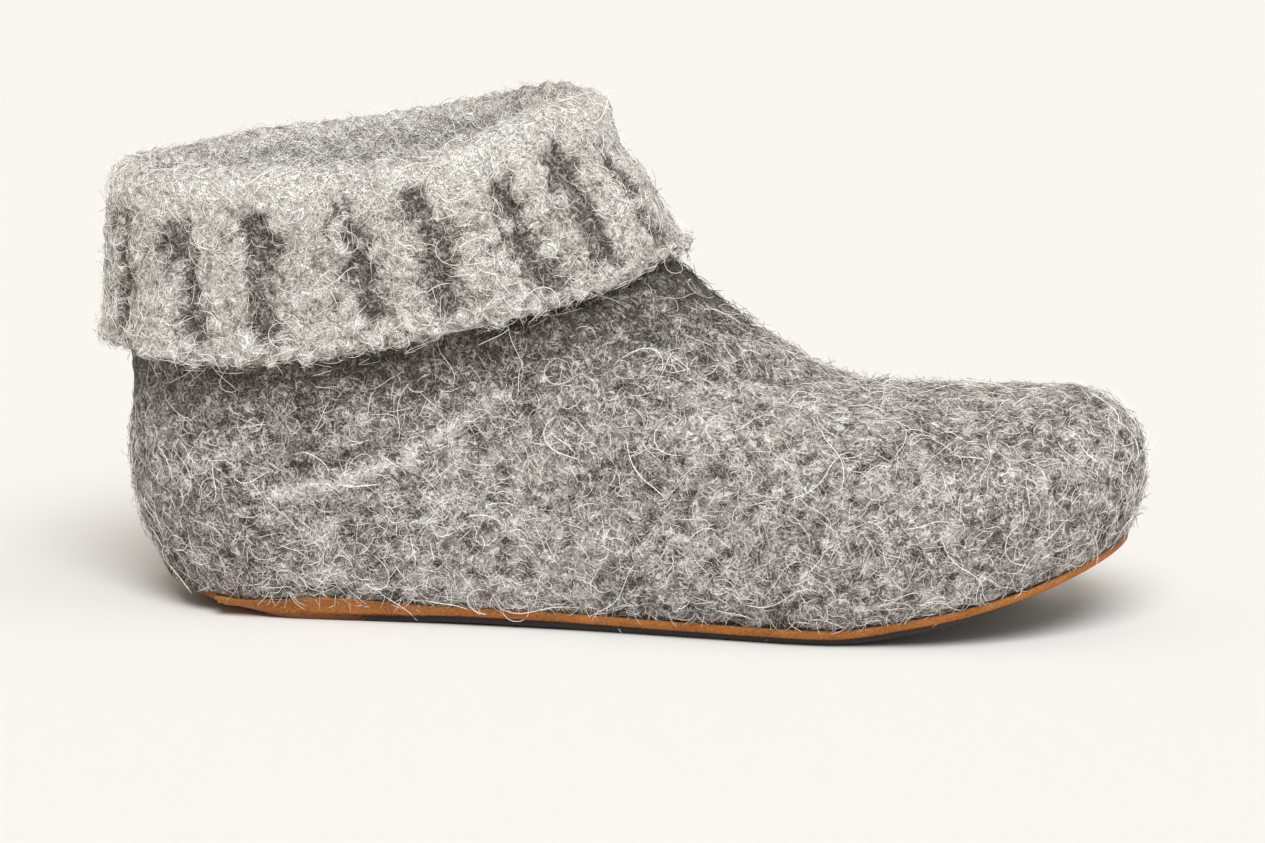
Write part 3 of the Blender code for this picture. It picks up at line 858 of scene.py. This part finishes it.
INNER_ROWS = 28
FOLD_ROWS = 24
LEAF_ROWS = 52
HEM_ROWS = 12
HIDDEN_ROWS = 7
cuff_rings = []
for share in np.linspace(0.0, 1.0, INNER_ROWS + 1)[:-1]:
    cuff_rings.append(cuff_layer(JOINT_STATION + share * (fold - JOINT_STATION), -FELT_WALL))
fold_radius = (outside + FELT_WALL) / 2
fold_middle = (outside - FELT_WALL) / 2
for angle in np.linspace(math.pi, 0.0, FOLD_ROWS + 1)[:-1]:
    cuff_rings.append(cuff_layer(fold, fold_middle + fold_radius * math.cos(angle),
                                 fold_radius * math.sin(angle)))
leaf_first = len(cuff_rings)
for share in np.linspace(0.0, 1.0, LEAF_ROWS + 1):
    cuff_rings.append(cuff_layer(fold + share * (hem - fold), outside))
half_leaf = CUFF_LEAF / 2
for angle in -np.linspace(0.0, math.pi, HEM_ROWS + 1)[1:-1]:
    cuff_rings.append(cuff_layer(hem, FOLD_SLIT + half_leaf + half_leaf * math.cos(angle),
                                 half_leaf * math.sin(angle)))
hidden_first = len(cuff_rings)
for share in np.linspace(1.0, 0.08, HIDDEN_ROWS):
    cuff_rings.append(cuff_layer(fold + share * (hem - fold), FOLD_SLIT))
cuff_rings.append(cuff_layer(fold + 0.08 * (hem - fold), 0.0))
cuff_rings.append(cuff_layer(JOINT_STATION, 0.0))
cuff_grid = np.array(cuff_rings)
print("cuff rings:", cuff_grid.shape[:2])

# %% Plump tufts of the rib stitch
TUFT_PITCH = 5.2 * MM


def tuft_relief(points):
    """Height and shade of the tufts, 0 in the creases between them, and the way to each one's middle."""
    bend = np.stack([soft_noise(points, 0.005, salt) for salt in (61, 62, 63)], axis=-1)
    bent = points + 0.0011 * bend
    _, second, number, way = stitch_cells(bent, TUFT_PITCH, 21)
    near = np.linalg.norm(way, axis=-1) / TUFT_PITCH
    tuft = ease((second - near) / 0.50)
    fine = soft_noise(points, 0.0016, 64)
    swell = soft_noise(points, 0.012, 65)
    height = MM * (1.25 * tuft * (0.35 + 0.65 * number) - 0.75 + 0.22 * fine + 0.45 * swell)
    # The shade is darker in the creases between the tufts as painted shade, and it differs at random from
    # tuft to tuft.
    shade = 0.44 + 0.55 * tuft * (0.3 + 0.7 * number) + 0.16 * fine + 0.14 * swell
    return height, shade, way


tuft_height, tuft_shade, tuft_way = tuft_relief(cuff_grid)

# %% Valleys between the ribs, with edges that follow the tufts
around_step = change(cuff_grid, 1) / 2
step_length = np.linalg.norm(around_step, axis=-1)
tuft_steps = np.einsum("ijk,ijk->ij", tuft_way, around_step) / step_length ** 2
cuff_rows = np.arange(len(cuff_grid))[:, None]
down = np.clip((cuff_rows - leaf_first) / LEAF_ROWS, -1.0, 1.2)
numbers = np.arange(RIB_COUNT)
all_turns = np.concatenate([valley_turns - 2 * math.pi, valley_turns, valley_turns + 2 * math.pi])
all_numbers = np.concatenate([numbers - RIB_COUNT, numbers, numbers + RIB_COUNT])
in_pitches = np.interp(cuff_turns, all_turns, all_numbers)[None] + 0.75 * tuft_steps / STEPS_PER_RIB
in_pitches = in_pitches + 0.13 * soft_noise(cuff_grid, 0.011, 51)
nearest_valley = np.round(in_pitches)
from_valley = in_pitches - nearest_valley
valley_number = nearest_valley.astype(np.int64) % RIB_COUNT
valley_start = VALLEYS["start"][valley_number]
valley_end = VALLEYS["end"][valley_number]
valley_reach = ease((down - valley_start) / 0.12 + 0.5) * ease((valley_end - down) / 0.12 + 0.5)
valley_width = VALLEY_WIDTH * (1.0 + 0.40 * soft_noise(cuff_grid, 0.007, 53))
valley = np.exp(-(np.abs(from_valley) / valley_width) ** 2.6) * valley_reach
valley = np.clip(valley * (0.90 + 0.35 * soft_noise(cuff_grid, 0.006, 54)), 0.0, 1.0)

# %% The cuff's relief
seen = 1.0 - ease((cuff_rows - hidden_first + 3) / 3.0)
hem_tufts = np.exp(-((down - 1.02) / 0.07) ** 2) * (tuft_shade - 0.60)
cuff_height = (tuft_height + 3.0 * MM * hem_tufts) * seen - RIB_DEPTH * valley
cuff_height = cuff_height * ease(cuff_rows / 5.0)
front_tip = np.exp(-((cuff_along[None] - 1.0) / 0.06) ** 2) * ease((down - 0.70) / 0.3) * seen
cuff_height = cuff_height - 1.3 * MM * front_tip
around_hem = np.exp(-((down - 0.93) / 0.10) ** 2)
lit_inside = 1 - ease((cuff_rows - INNER_ROWS + 8) / (0.8 * FOLD_ROWS))
lit_fold = np.exp(-((cuff_rows - leaf_first) / 9.0) ** 2)
# Painted light and shade: the inner wall and the fold are lightened, and the valleys are darkened, partly
# for the purl yarn's darker colour and partly as painted shade.
cuff_shade = tuft_shade + 0.62 * lit_inside + 0.36 * lit_fold + 0.06 * around_hem - 0.93 * valley
cuff_shade = np.clip(cuff_shade, -0.3, 1.1)
cuff_normals = unit(np.cross(change(cuff_grid, 0), change(cuff_grid, 1)))
cuff_surface = cuff_grid + cuff_normals * cuff_height[..., None]
print("cuff relief, mm:", round(cuff_height.min() / MM, 2), "to", round(cuff_height.max() / MM, 2))

# %% The cuff as one closed band
cuff_order = np.append(np.arange(len(cuff_grid)), 0)
cuff_faces = rings_to_faces(cuff_order, CUFF_COUNT)
cuff_hairy = np.broadcast_to(seen * ease((cuff_rows - 2) / 4.0), cuff_grid.shape[:2])
cuff_hairy = cuff_hairy * (0.8 + 0.6 * around_hem) * (1 - 0.35 * valley)
cuff_marks = {"shade": cuff_shade.ravel(), "hairy": cuff_hairy.ravel()}
rib_cuff = make_piece("rib_cuff", cuff_surface.reshape(-1, 3), cuff_faces.tolist(), cuff_marks, rib_wool)
tell(rib_cuff)

# %% [markdown]
# ## The suede sole and the loose insole
# The sole is one thin sheet of tan suede, cut to the foot's outline and sewn on under the felt,
# so from the side only its edge shows as a strip. Suede is leather with its flesh side raised: a
# short nap with darker and lighter strokes. The sheet is laid as rings along the foot, rounded
# at the edge, and wraps a little further up at the heel's side. The insole is a plain felt sheet
# that lies inside and can be taken out.

# %% Suede
# The darkest stop colours the painted shade under the sole.
suede_shades = ((0.0, (0.012, 0.006, 0.004)), (0.30, (0.16, 0.052, 0.012)), (0.85, (0.55, 0.210, 0.048)))
suede, suede_tree, suede_shader = blank_material("suede", {
    "Roughness": 0.88, "Sheen Weight": 0.12, "Sheen Roughness": 0.5, "Specular IOR Level": 0.2})
suede_place = object_place(suede_tree)
suede_strokes, suede_nap = (
    add_node(suede_tree, "ShaderNodeTexNoise", {"Vector": suede_place, "Scale": scale, "Detail": detail,
                                                "Roughness": 0.7}).outputs["Fac"]
    for scale, detail in ((260.0, 4.0), (1900.0, 3.0)))
# This mark holds both the suede's own wear and the painted shade on the sole's underside.
suede_wear_and_shade = add_node(suede_tree, "ShaderNodeAttribute", attribute_name="edge_wear_and_underside_shade").outputs["Fac"]
suede_level = maths(suede_tree, "MULTIPLY_ADD", suede_strokes, 0.35, -0.12)
suede_level = maths(suede_tree, "ADD", suede_nap, suede_level)
suede_level = maths(suede_tree, "ADD", suede_level, suede_wear_and_shade)
suede_tone = colour_ramp(suede_tree, suede_level, suede_shades)
colour_and_bump(suede_tree, suede_shader, suede_tone, 0.7, 0.3 * MM, suede_nap)

# %% A sheet under the foot, ring by ring
SHEET_RINGS = 240
ACROSS_STEPS = 7
EDGE_BEND = np.radians([-60.0, -30.0, 0.0, 30.0, 60.0])

# How far the sole's edge wraps up the felt's side: length from the heel and height, in mm.
WRAP = table(("along", "height"), [
    (26.0, 0.0),
    (44.0, 1.6),
    (56.0, 2.6),
    (70.0, 2.0),
    (90.0, 0.4),
    (240.0, 0.2),
    (256.0, 0.0),
])


def side_point(x, side, z, out):
    """Point a little outside the foot's side at a length, a side and a height."""
    half = plan_half_width(x, side) * under_share(x, z) * rounding(FOOT_LENGTH - x, TOE_CORNER, TOE_POWER)
    return np.stack([x, plan_centre(x) + side * (half + out), z], axis=-1)


def sheet_rings(bottom, thickness, reach, inset, heel_end, toe_end, edge_lift):
    """Rings of a sheet with rounded edges, each ring once round its section."""
    shares = (1 - np.cos(np.linspace(0.012, math.pi - 0.012, SHEET_RINGS))) / 2
    lengths = heel_end + (toe_end - heel_end) * shares
    flat = 1 - EDGE_BAND
    inner = np.concatenate([[-0.97], np.linspace(-flat, flat, ACROSS_STEPS), [0.97]])
    out = 0.97 + 0.03 * np.cos(EDGE_BEND)
    up = 0.5 * np.sin(EDGE_BEND)
    across = np.concatenate([inner, out, inner[::-1], -out])
    level = np.concatenate([np.zeros(len(inner)), 0.5 + up, np.ones(len(inner)), 0.5 - up])
    trim = rounding(lengths - heel_end, HEEL_CORNER) * rounding(toe_end - lengths, TOE_CORNER, TOE_POWER)
    under = under_share(lengths, felt_bottom(lengths) + reach)
    half = plan_half_width(lengths[:, None], np.sign(across)[None]) * under[:, None] - inset
    half = np.maximum(half, 0.001) * trim[:, None]
    y = plan_centre(lengths)[:, None] + across[None] * half
    turned_up = np.clip((np.abs(across)[None] - 1 + EDGE_BAND) / EDGE_BAND, 0.0, 1.0)
    lift = edge_lift * trim[:, None] ** CURL_FADE * turned_up
    z = bottom(lengths)[:, None] + level[None] * thickness + lift
    x = np.broadcast_to(lengths[:, None], y.shape)
    return np.stack([x, y, z], axis=-1)


def close_sheet(name, rings, marks, material):
    """Closed mesh of a sheet's rings, with both ends capped."""
    count = rings.shape[1]
    faces = rings_to_faces(np.arange(len(rings)), count)[:, ::-1].tolist()
    last = (len(rings) - 1) * count
    faces.append(tuple(range(count))[::-1])
    faces.append(tuple(last + k for k in range(count)))
    return make_piece(name, rings.reshape(-1, 3), faces, marks, material)

# %% The sole
sole_rings = sheet_rings(underside, SUEDE_THICKNESS, SOLE_REACH, 0.0,
                         SOLE_HEEL_END * FOOT_LENGTH, SOLE_TOE_END * FOOT_LENGTH, EDGE_LIFT)
sole_x = sole_rings[..., 0]
wrap = smooth(sole_x, MM * WRAP["along"], MM * WRAP["height"])
across_count = ACROSS_STEPS + 2
edge_rise = np.linspace(0.2, 1.0, len(EDGE_BEND))
edge_level = np.concatenate([np.zeros(across_count), edge_rise, np.zeros(across_count), edge_rise[::-1]])
sole_side = np.sign(sole_rings[..., 1] - plan_centre(sole_x))
wrapped_z = sole_rings[..., 2] + wrap * edge_level
wrapped = side_point(sole_x, sole_side, wrapped_z, 0.9 * MM)
outward = (wrapped[..., 1] - sole_rings[..., 1]) * sole_side > 0
turned = (edge_level > 0) & outward & (wrap * edge_level > 0.05 * MM)
sole_rings[..., 1] = np.where(turned, wrapped[..., 1], sole_rings[..., 1])
sole_rings[..., 2] = wrapped_z
sole_share = np.broadcast_to(np.arange(sole_rings.shape[1]) < across_count, sole_rings.shape[:2])
past_heel = ease((sole_x / MM - 48.0) / 34.0)
# Painted shade: the underside and the turned-up rim are darkened, most of all past the heel, as shade in
# the gap under the sole's edge. The noise is the suede's own wear.
sole_wear_and_shade = 0.10 * soft_noise(sole_rings, 0.009, 71) - (0.15 + 0.60 * past_heel) * sole_share
sole_marks = {"edge_wear_and_underside_shade": sole_wear_and_shade.ravel()}
suede_sole = close_sheet("suede_sole", sole_rings, sole_marks, suede)
tell(suede_sole)

# %% The insole
insole_shades = ((0.0, (0.16, 0.145, 0.13)), (0.45, (0.36, 0.335, 0.31)), (1.0, (0.60, 0.575, 0.54)))
insole_felt = woollen("insole_felt", insole_shades, (0.64, 0.62, 0.59), (0.12, 0.10, 0.09),
                      1.3 * MM, 3.5 * MM, 0.3 * MM)


def insole_bottom(x):
    """Height of the insole's underside, measured square to the slope it lies on."""
    slope = (felt_bottom(x + SEAT_GAP) - felt_bottom(x - SEAT_GAP)) / (2 * SEAT_GAP)
    return felt_bottom(x) + FELT_WALL * np.hypot(1.0, slope) + 2 * SEAT_GAP


insole_end = FELT_WALL + 2 * INSOLE_CLEARANCE
insole_rings = sheet_rings(insole_bottom, INSOLE_THICKNESS, 0.0, FELT_WALL + INSOLE_CLEARANCE,
                           SOLE_HEEL_END * FOOT_LENGTH + insole_end,
                           SOLE_TOE_END * FOOT_LENGTH - insole_end, 0.0)
insole_shade = (0.52 + 0.12 * soft_noise(insole_rings, 0.014, 75)
                + 0.08 * soft_noise(insole_rings, 0.003, 76))
loose_insole = close_sheet("loose_insole", insole_rings, {"shade": insole_shade.ravel()}, insole_felt)
tell(loose_insole)

# %% [markdown]
# ## Wool fibres
# Thousands of short hairs stick out of boiled wool in flat little curls, and a few long ones lie
# across it. Blender's hair curves would draw them, but only a mesh survives an export. So a few
# strands are modelled once, as thin spindles of twenty to fifty faces, and Geometry Nodes strew
# copies of them over the felt and the cuff, each turned and scaled at random, and keep the shade
# of the wool they grow from, painted shade included, so pits stay dark beneath them. The copies
# are then made real.

# %% A few strands to strew
def spindle(path, radius):
    """Points and faces of a closed three-sided strand along a path, pointed at both ends."""
    path = np.asarray(path)
    tangent = unit(np.gradient(path, axis=0))
    side = unit(np.cross(tangent, [0.0, 0.0, 1.0]))
    rise = np.cross(side, tangent)
    count = len(path) - 2
    points = [path[0]]
    for k in range(1, len(path) - 1):
        for corner in (0.0, 2 * math.pi / 3, 4 * math.pi / 3):
            points.append(path[k] + radius * (math.cos(corner) * side[k] + math.sin(corner) * rise[k]))
    points.append(path[-1])
    faces = []
    for c in range(3):
        n = (c + 1) % 3
        faces.append((0, 1 + n, 1 + c))
        for k in range(count - 1):
            a, b = 1 + 3 * k + c, 1 + 3 * k + n
            faces.append((a, b, b + 3))
            faces.append((a, b + 3, a + 3))
        faces.append((1 + 3 * (count - 1) + c, 1 + 3 * (count - 1) + n, len(points) - 1))
    return points, faces


def strand_mesh(name, path, radius):
    """Mesh object of one strand."""
    points, faces = spindle(path, radius)
    mesh = bpy.data.meshes.new(name)
    mesh.from_pydata([tuple(point) for point in points], [], faces)
    return bpy.data.objects.new(name, mesh)


def curl_path(length, bend, joints, rise, loose_end, wander):
    """Points of a curl that lies on the surface, rises in its middle and turns by a bend."""
    share = np.linspace(0.0, 1.0, joints)
    heading = math.radians(bend) * share + wander * np.sin(share * 5.0)
    step = length / (joints - 1)
    x, y = (running_total(wave(heading[:-1]) * step) for wave in (np.cos, np.sin))
    z = rise * np.sin(math.pi * share) + loose_end * share ** 2 - 0.00015
    path = np.stack([x, y, z], axis=-1)
    return path - np.array([x.mean(), y.mean(), 0.0])


# Length in mm, bend in degrees, joints, rise in mm, height of the loose end in mm, and wander.
CURLS = (
    (6.0, 130, 5, 0.40, 0.10, 0.2),
    (7.2, -100, 5, 0.45, 0.30, 0.3),
    (7.6, 170, 6, 0.45, 0.10, 0.2),
    (9.4, -70, 5, 0.40, 0.50, 0.4),
    (6.2, 210, 6, 0.50, 0.20, 0.1),
    (10.0, 100, 6, 0.50, 0.15, 0.5),
    (7.0, -130, 5, 0.45, 0.90, 0.2),
    (9.0, 40, 5, 0.60, 0.40, 0.6),
)
HAIRS = (
    (11.0, 90, 9, 0.9, 0.6, 0.5),
    (15.0, -120, 10, 1.1, 0.9, 0.6),
    (9.0, 150, 9, 0.8, 1.6, 0.3),
    (19.0, 70, 11, 1.4, 0.4, 0.7),
    (13.0, -200, 11, 1.2, 0.8, 0.4),
    (8.0, -60, 8, 0.7, 2.4, 0.5),
)


def strand_box(title, rows_of_strands, radius):
    """Collection of strands made from a table."""
    gathered = bpy.data.collections.new(title)
    for k, (length, bend, joints, rise, loose_end, wander) in enumerate(rows_of_strands):
        path = curl_path(length * MM, bend, joints, rise * MM, loose_end * MM, wander)
        gathered.objects.link(strand_mesh(f"{title}_{k}", path, radius))
    return gathered


CURL_RADIUS = 0.070 * MM
HAIR_RADIUS = 0.072 * MM
EDGE_HAIR_RADIUS = 0.075 * MM
LOOP_RADIUS = 0.085 * MM
short_curls = strand_box("short_curl", CURLS, CURL_RADIUS)
long_hairs = strand_box("long_hair", HAIRS, HAIR_RADIUS)

# %% Fibre material
fibre_shades = ((0.0, (0.040, 0.027, 0.019)), (0.25, (0.150, 0.120, 0.100)), (0.45, (0.56, 0.52, 0.48)),
                (0.65, (0.89, 0.855, 0.815)), (1.0, (0.97, 0.94, 0.90)))
wool_fibre, fibre_tree, fibre_shader = blank_material(
    "wool_fibre", {"Roughness": 0.75, "Specular IOR Level": 0.3, "Sheen Weight": 0.1})
fibre_tone = add_node(fibre_tree, "ShaderNodeAttribute", attribute_name="tone").outputs["Fac"]
feed(fibre_tree, fibre_shader.inputs["Base Color"], colour_ramp(fibre_tree, fibre_tone, fibre_shades))

# %% Node tree: strew fibres over wool
strew = bpy.data.node_groups.new("strew_fibres", "GeometryNodeTree")
add_sockets(strew, "INPUT", "Geometry", "Wool")
strew_sockets = add_sockets(strew, "INPUT", "Collection", "Strands")
strew_sockets += add_sockets(strew, "INPUT", "Float", "Per Square Metre", "Smallest", "Largest", "Tilt",
                             "Lightness", "From Wool")
strew_sockets += add_sockets(strew, "INPUT", "Int", "Seed")
strew_sockets += add_sockets(strew, "INPUT", "Material", "Material")
add_sockets(strew, "OUTPUT", "Geometry", "Fibres")
strew_in = add_node(strew, "NodeGroupInput").outputs


def wool_mark(name):
    """Output with a mark of the wool's surface."""
    return add_node(strew, "GeometryNodeInputNamedAttribute", {"Name": name},
                    data_type="FLOAT").outputs["Attribute"]


def shown(sockets, name=None):
    """The socket that a node shows for its kind of data, of all those it keeps."""
    return next(s for s in sockets if s.enabled and name in (None, s.name))


def random_value(kind, lowest, highest, seed):
    """Output of a random value node with its own seed, from sockets or numbers."""
    made = add_node(strew, "FunctionNodeRandomValue", data_type=kind)
    for name, value in (("Min", lowest), ("Max", highest), ("Seed", seed)):
        feed(strew, shown(made.inputs, name), value)
    return shown(made.outputs)


roots = add_node(strew, "GeometryNodeDistributePointsOnFaces", {
    "Mesh": strew_in["Wool"], "Seed": strew_in["Seed"],
    "Density": maths(strew, "MULTIPLY", wool_mark("hairy"), strew_in["Per Square Metre"])},
    distribute_method="RANDOM").outputs
chosen = add_node(strew, "GeometryNodeCollectionInfo", {
    "Collection": strew_in["Strands"], "Separate Children": True, "Reset Children": True})
less_tilt = maths(strew, "MULTIPLY", strew_in["Tilt"], -1.0)
turn_by = add_node(strew, "ShaderNodeCombineXYZ", {
    "X": random_value("FLOAT", less_tilt, strew_in["Tilt"], 4),
    "Y": random_value("FLOAT", less_tilt, strew_in["Tilt"], 5),
    "Z": random_value("FLOAT", -math.pi, math.pi, 3)})
as_rotation = add_node(strew, "FunctionNodeEulerToRotation", {0: turn_by.outputs[0]})
turned = add_node(strew, "FunctionNodeRotateRotation", {
    "Rotation": roots["Rotation"], "Rotate By": as_rotation.outputs[0]}, rotation_space="LOCAL")
copies = add_node(strew, "GeometryNodeInstanceOnPoints", {
    "Points": roots["Points"], "Instance": chosen.outputs[0], "Pick Instance": True,
    "Instance Index": random_value("INT", 0, 999, 7), "Rotation": turned.outputs[0],
    "Scale": random_value("FLOAT", strew_in["Smallest"], strew_in["Largest"], 6)})
# The tone follows the wool's shade mark, so painted shade carries over onto the fibres.
tone = maths(strew, "ADD", maths(strew, "MULTIPLY", wool_mark("shade"), strew_in["From Wool"]),
             random_value("FLOAT", -0.30, 0.62, 8))
tone = maths(strew, "ADD", tone, strew_in["Lightness"], clamp=True)
keep_tone = add_node(strew, "GeometryNodeStoreNamedAttribute",
                     {"Geometry": copies.outputs[0], "Name": "tone"}, data_type="FLOAT", domain="INSTANCE")
feed(strew, shown(keep_tone.inputs, "Value"), tone)
realized = add_node(strew, "GeometryNodeRealizeInstances", {0: keep_tone.outputs[0]})
dyed = add_node(strew, "GeometryNodeSetMaterial", {"Geometry": realized.outputs[0],
                                                   "Material": strew_in["Material"]})
add_node(strew, "NodeGroupOutput", {0: dyed.outputs[0]})
print("strewing tree:", len(strew.nodes), "nodes")

# %% Strew fibres over a piece and make them real
FLOOR_LIE = 0.3 * MM          # hairs that would reach below this height lie almost flat on the floor
# Name, wool and strands, then the tree's numbers: strands per square metre, smallest and largest
# scale, tilt, lightness, share of the tone that comes from the wool, and seed.
FIBRES = (
    ("foot_fuzz", felt_upper, short_curls, 190000.0, 0.6, 1.2, 0.20, 0.00, 0.90, 1),
    ("foot_curls", felt_upper, short_curls, 190000.0, 0.6, 1.3, 0.60, 0.00, 0.90, 2),
    ("cuff_fuzz", rib_cuff, short_curls, 330000.0, 0.6, 1.2, 0.40, 0.05, 0.90, 3),
    ("foot_hairs", felt_upper, long_hairs, 12000.0, 0.5, 1.5, 0.12, 0.55, 0.20, 4),
    ("cuff_hairs", rib_cuff, long_hairs, 11000.0, 0.5, 1.3, 0.18, 0.55, 0.20, 5),
)


def strew_over(name, wool, strands, *numbers):
    """New mesh piece of the fibres that the tree strews over a woollen piece."""
    carrier = place_object(name + "_carrier", wool.data.copy())
    strewing = carrier.modifiers.new("strew", "NODES")
    strewing.node_group = strew
    for socket, value in zip(strew_sockets, (strands, *numbers, wool_fibre)):
        strewing[socket] = value
    evaluated = carrier.evaluated_get(bpy.context.evaluated_depsgraph_get())
    mesh = bpy.data.meshes.new_from_object(evaluated)
    mesh.name = name
    carrier.modifiers.remove(strewing)
    bpy.data.objects.remove(carrier)
    places = np.empty(3 * len(mesh.vertices))
    mesh.vertices.foreach_get("co", places)
    places[2::3] = np.maximum(places[2::3], FLOOR_LIE + 0.1 * (places[2::3] - FLOOR_LIE))
    mesh.vertices.foreach_set("co", places)
    piece = place_object(name, mesh)
    tell(piece)
    return piece


foot_fuzz, foot_curls, cuff_fuzz, foot_hairs, cuff_hairs = [strew_over(*row) for row in FIBRES]

# %% Loose loops under the hem and hairs over the sole's edge
def joined_strands(name, paths, tones, radius):
    """One mesh piece of many strands, each with its own tone."""
    points = []
    faces = []
    marks = []
    for path, shade in zip(paths, tones):
        strand_points, strand_faces = spindle(path, radius)
        faces += [tuple(len(points) + k for k in face) for face in strand_faces]
        points += strand_points
        marks += [shade] * len(strand_points)
    return make_piece(name, points, faces, {"tone": marks}, wool_fibre)


LOOP_COUNT = 90
EDGE_HAIR_COUNT = 150
dice = np.random.default_rng(23)
loop_paths = []
for k in range(LOOP_COUNT):
    share = np.linspace(0.0, 1.0, 13)
    first, swing, drop, stand = dice.uniform((0.5, -0.30, 0.15, 1.0), (5.8, 0.30, 0.90, 4.0))
    turns = first + swing * share + 0.04 * np.sin(9 * share + k)
    hang = np.sin(math.pi * share * (1.0 if k % 3 else 0.55))
    loop, loop_normal, _ = body_frame(hem_station(turns) + drop * hang, turns)
    away = (5.0 * (1 - hang) + stand * hang) * MM
    loop_paths.append(loop + loop_normal * away[:, None])
hem_loops = joined_strands("hem_loops", loop_paths, dice.uniform(0.15, 0.95, LOOP_COUNT), LOOP_RADIUS)
edge_paths = []
for k in range(EDGE_HAIR_COUNT):
    share = np.linspace(0.0, 1.0, 7)
    start, shift, low, out = dice.uniform((30.0, -5.0, 0.8, 0.8), (236.0, 5.0, 5.0, 3.0))
    x = (start + shift * share ** 1.5) * MM
    z = (8.0 + (low - 8.0) * share) * MM + underside(x)
    edge_paths.append(side_point(x, 1.0 if k % 2 else -1.0, z, (0.3 + out * np.sin(2.2 * share)) * MM))
edge_tones = dice.uniform(0.35, 0.9, EDGE_HAIR_COUNT)
edge_hairs = joined_strands("edge_hairs", edge_paths, edge_tones, EDGE_HAIR_RADIUS)
tell(hem_loops)
tell(edge_hairs)

# %% [markdown]
# ## Fit the pieces to the frame
# Every new piece rides on the boot's one body. The four imported solids stay in the part, but they
# are hidden behind the pieces that stand for them.

# %% Ride the body and replace the solids
DRESSING = (
    ("upper", "felted_wool", (felt_upper, foot_fuzz, foot_curls, foot_hairs, edge_hairs)),
    ("cuff", "rib_wool", (rib_cuff, cuff_fuzz, cuff_hairs, hem_loops)),
    ("outsole", "suede", (suede_sole,)),
    ("insole", "insole_felt", (loose_insole,)),
)
for node, finish, pieces in DRESSING:
    for piece in pieces:
        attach(piece, "root")
        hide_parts(node)
    print(node, "is dressed by", ", ".join(piece.name for piece in pieces))
for gathered in (short_curls, long_hairs):
    for strand in list(gathered.objects):
        bpy.data.objects.remove(strand)
    bpy.data.collections.remove(gathered)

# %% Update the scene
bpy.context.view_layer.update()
